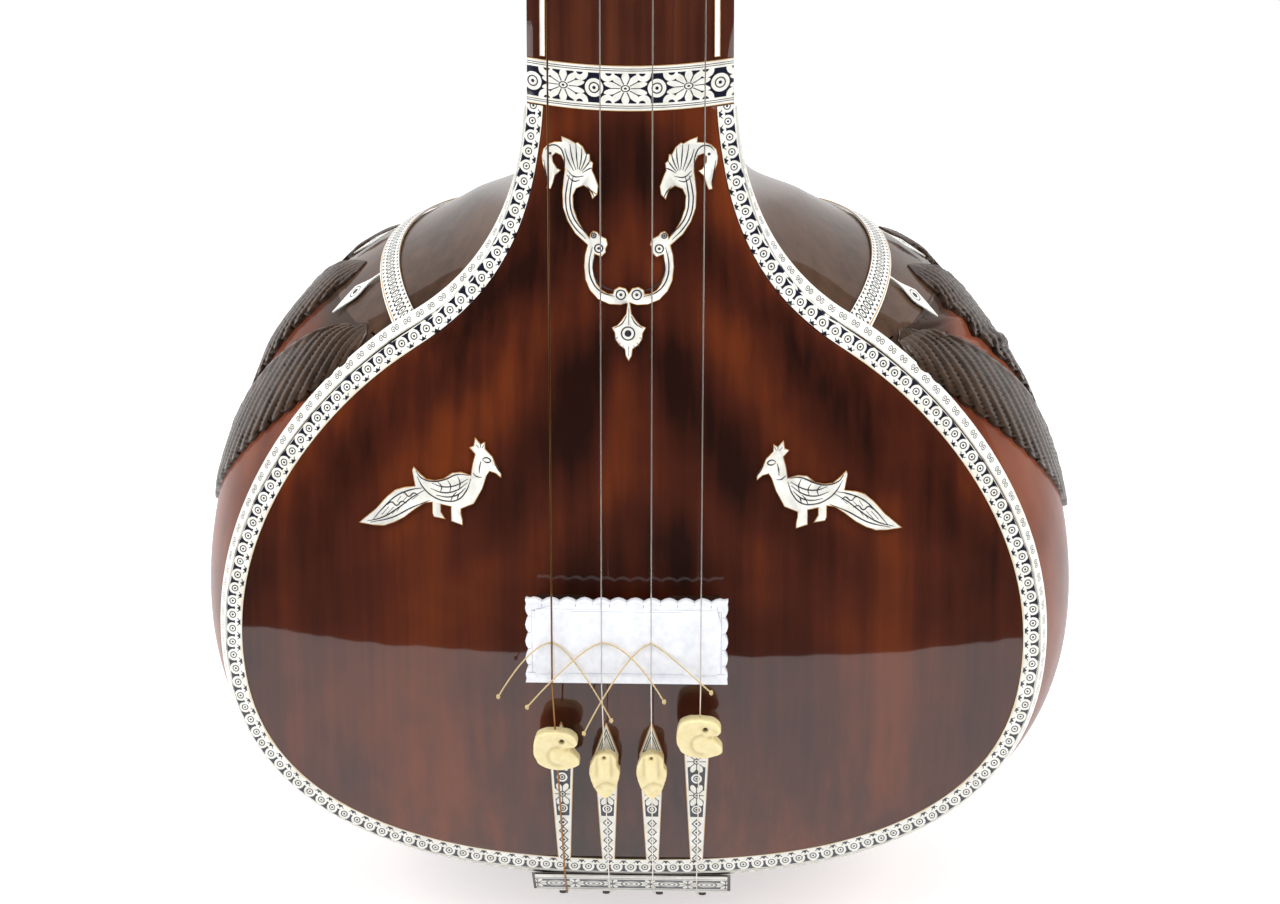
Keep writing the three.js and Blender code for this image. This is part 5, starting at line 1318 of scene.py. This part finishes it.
def carved_bead(node, outline, thick, relief):
    low, high = [Vector(c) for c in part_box(node)]
    middle = (low + high) / 2
    front, back = middle.y - thick / 2000, middle.y + thick / 2000
    piece = primitive(bpy.ops.mesh.primitive_circle_add, f"carved_{node}", vertices=len(outline),
                      radius=0.01, fill_type="NGON")
    for vertex, (a, b) in zip(piece.data.vertices, outline):
        vertex.co = (middle.x + a * MM, front, middle.z + b * MM)
    edit_all(piece)
    bpy.ops.mesh.extrude_region_move(TRANSFORM_OT_translate={"value": (0, back - front, 0)})
    bpy.ops.mesh.select_all(action="SELECT")
    bpy.ops.mesh.normals_make_consistent(inside=False)
    bpy.ops.object.mode_set(mode="OBJECT")
    apply_modifier(piece, "REMESH", mode="VOXEL", voxel_size=VOXEL)
    apply_modifier(piece, "SMOOTH", factor=0.5, iterations=40)
    pressed = piece.data.attributes.new("pressed", "FLOAT", "POINT")
    moves = []
    for k, vertex in enumerate(piece.data.vertices):
        a = (vertex.co.x - middle.x) * 1000
        b = (vertex.co.z - middle.z) * 1000
        normal = vertex.normal.copy()
        facing = max(0, -normal.y) if vertex.co.y < middle.y else 0
        depth = relief(a, b) * facing
        # how deep the carving goes, kept for the finish's painted shade
        pressed.data[k].value = clamped(depth / DARKEST_PRESS)
        wave = CARVED_WAVE * math.sin(a * 1.3 + b) * math.cos(b * 1.1)
        moves.append(-normal * (depth + wave) * MM)
    for vertex, move in zip(piece.data.vertices, moves):
        vertex.co += move
        vertex.co.y -= (vertex.co.z - middle.z) * STRING_SLOPE
    apply_modifier(piece, "SMOOTH", factor=0.5, iterations=2)
    bpy.ops.object.shade_smooth()
    take_over(piece, node)
    dress(piece, bead_finish)
    print(node, len(piece.data.polygons), "faces")


for node in ["bead_1", "bead_4"]:
    carved_bead(node, SWAN_OUTLINE, 11.0, swan_relief)
for node in ["bead_2", "bead_3"]:
    carved_bead(node, BUD_OUTLINE, 9.4, bud_relief)

# %% [markdown]
# The bridge plate has soft edges from polishing, a shallow groove that frames its middle, and a saw
# cut between each two scallops. A bevel rounds the edges, and the cuts are drawn like etched lines.
# The groove's lines are drawn the same way, in a darker grey that is painted shade.

# %% Bridge plate
SCALLOP_PITCH = 8.0
CUT_START = 0.9
LONG_CUT, SHORT_CUT, SIDE_CUT = 3.4, 2.2, 2.6
FRAME_SIDE, FRAME_END, FOOT_SIDE = 3.2, 5.2, 1.4

plate = merged_copy("bridge_plate")
apply_modifier(plate, "BEVEL", width=0.0005, segments=2, limit_method="ANGLE", angle_limit=math.radians(35))
bpy.ops.object.shade_smooth_by_angle(angle=math.radians(50))
take_over(plate, "bridge_plate")
dress(plate, plate_finish)
smooth["bridge_plate"] = plate
plate_low, plate_high = [Vector(c) * 1000 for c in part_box("bridge_plate")]
cuts = []
for k in range(1, 12):
    x = plate_low.x + SCALLOP_PITCH * k
    length = LONG_CUT if k % 2 else SHORT_CUT
    cuts.append([(x, plate_high.z - CUT_START), (x, plate_high.z - length)])
for k in range(1, 5):
    z = plate_low.z + SCALLOP_PITCH * k + 1
    cuts.append([(plate_low.x + CUT_START, z), (plate_low.x + SIDE_CUT, z)])
    cuts.append([(plate_high.x - CUT_START, z), (plate_high.x - SIDE_CUT, z)])
etched_lines("plate_saw_cuts", "bridge_plate", cuts, [], line_mm=0.4)
frame_left, frame_right = plate_low.x + FRAME_SIDE, plate_high.x - FRAME_SIDE
frame_top, frame_foot = plate_high.z - FRAME_END, plate_low.z + FRAME_END
frame_lines = [
    [(frame_left, frame_foot), (frame_left, frame_top)],
    [(frame_left, frame_top), (frame_right, frame_top)],
    [(frame_right, frame_top), (frame_right, frame_foot)],
    [(plate_low.x + FOOT_SIDE, frame_foot), (plate_high.x - FOOT_SIDE, frame_foot)],
]
# The frame groove's lines carry painted shade.
dress(etched_lines("plate_frame_groove_shade", "bridge_plate", frame_lines, [], line_mm=0.5), groove_shade_finish)

# %% [markdown]
# A plain pale floor, as in a product studio. The soundboard is a mirror of shellac: it faces the
# camera, so its upper part shows the dark room behind the camera, and its lower part shows the pale
# floor. A dark panel and a dark carpet stand for that room. Only reflections see them, so the
# picture's own background stays white.

# %% Floor and dark room
FLOOR_EDGE = -0.57
ROOM_DEPTH = 6 + FLOOR_EDGE
FLAT = (0, 0, 0)
UPRIGHT = math.pi / 2
ROOM_DARK = "141212"
FLOOR_GLOW = 0.6


def stage_sheet(name, place, turn, size, colour):
    sheet = primitive(bpy.ops.mesh.primitive_plane_add, name, size=1, location=place, rotation=turn)
    sheet.scale = (*size, 1)
    bpy.ops.object.transform_apply(location=True, rotation=True, scale=True)
    finish, shader = new_finish(name + "_paint", rough=0.8)
    shader.inputs["Base Color"].default_value = linear(colour)
    dress(sheet, finish)
    return sheet, shader


def seen_or_mirrored():
    path = add("ShaderNodeLightPath")
    return any_of(path, path.node.outputs["Is Glossy Ray"], path.node.outputs["Is Transmission Ray"])


shader = stage_sheet("floor", (0, 0, -0.0005), FLAT, (12, 12), "f0f0f0")[1]
glow = add(MATH, seen_or_mirrored(), FLOOR_GLOW, operation="MULTIPLY")
shader.inputs["Emission Color"].default_value = linear("ffffff")
tree.links.new(glow, shader.inputs["Emission Strength"])

carpet_place = (0, FLOOR_EDGE - ROOM_DEPTH / 2, 0)
room = [
    stage_sheet("dark_carpet", carpet_place, FLAT, (12, ROOM_DEPTH), "1c1a1a")[0],
    stage_sheet("dark_panel", (0, -3, 3), (UPRIGHT, 0, 0), (9, 6), ROOM_DARK)[0],
]
for side in (-1, 1):
    room.append(stage_sheet("dark_side_panel", (side * 4.5, -0.5, 3), (UPRIGHT, 0, UPRIGHT), (5, 6),
                            ROOM_DARK)[0])
for sheet in room:
    sheet.visible_camera = False
    sheet.visible_diffuse = False
    sheet.visible_shadow = False
    sheet.visible_transmission = False
    print(sheet.name, "is seen in reflections only")

# %% [markdown]
# Three large soft lamps light the piece from both sides and from above. The side lamps are left out
# of reflections, where they would stand as hard white squares. The world is white where the camera or
# a reflection sees it, and dimmer as a light.

# %% Lamps and background
ROOM_LIGHT = 0.45


def area_lamp(name, place, aim, size, power):
    data = bpy.data.lights.new(name, "AREA")
    data.shape = "RECTANGLE"
    data.size, data.size_y = size
    data.energy = power
    lamp = put(name, data)
    lamp.location = place
    lamp.rotation_euler = (Vector(place) - Vector(aim)).to_track_quat("Z", "Y").to_euler()
    print(name, power, "W")
    return lamp


for name, side, power in [("left_softbox", -1, 32), ("right_softbox", 1, 27)]:
    lamp = area_lamp(name, (side * 2.0, -0.6, 1.2), (0, 0, 0.3), (1.2, 1.6), power)
    lamp.visible_glossy = False
area_lamp("top_softbox", (0, -1.0, 2.7), (0, 0, 0.2), (2.0, 1.2), 44)

world = bpy.data.worlds.new("studio")
bpy.context.scene.world = world
world.use_nodes = True
tree = world.node_tree
for old in list(tree.nodes):
    tree.nodes.remove(old)
dim = add("ShaderNodeBackground", linear("ffffff"), ROOM_LIGHT)
white = add("ShaderNodeBackground", linear("ffffff"), 1.0)
mixed = add("ShaderNodeMixShader", seen_or_mirrored(), dim, white)
output = tree.nodes.new("ShaderNodeOutputWorld")
tree.links.new(mixed, output.inputs[0])
bpy.context.scene.view_settings.view_transform = "Standard"
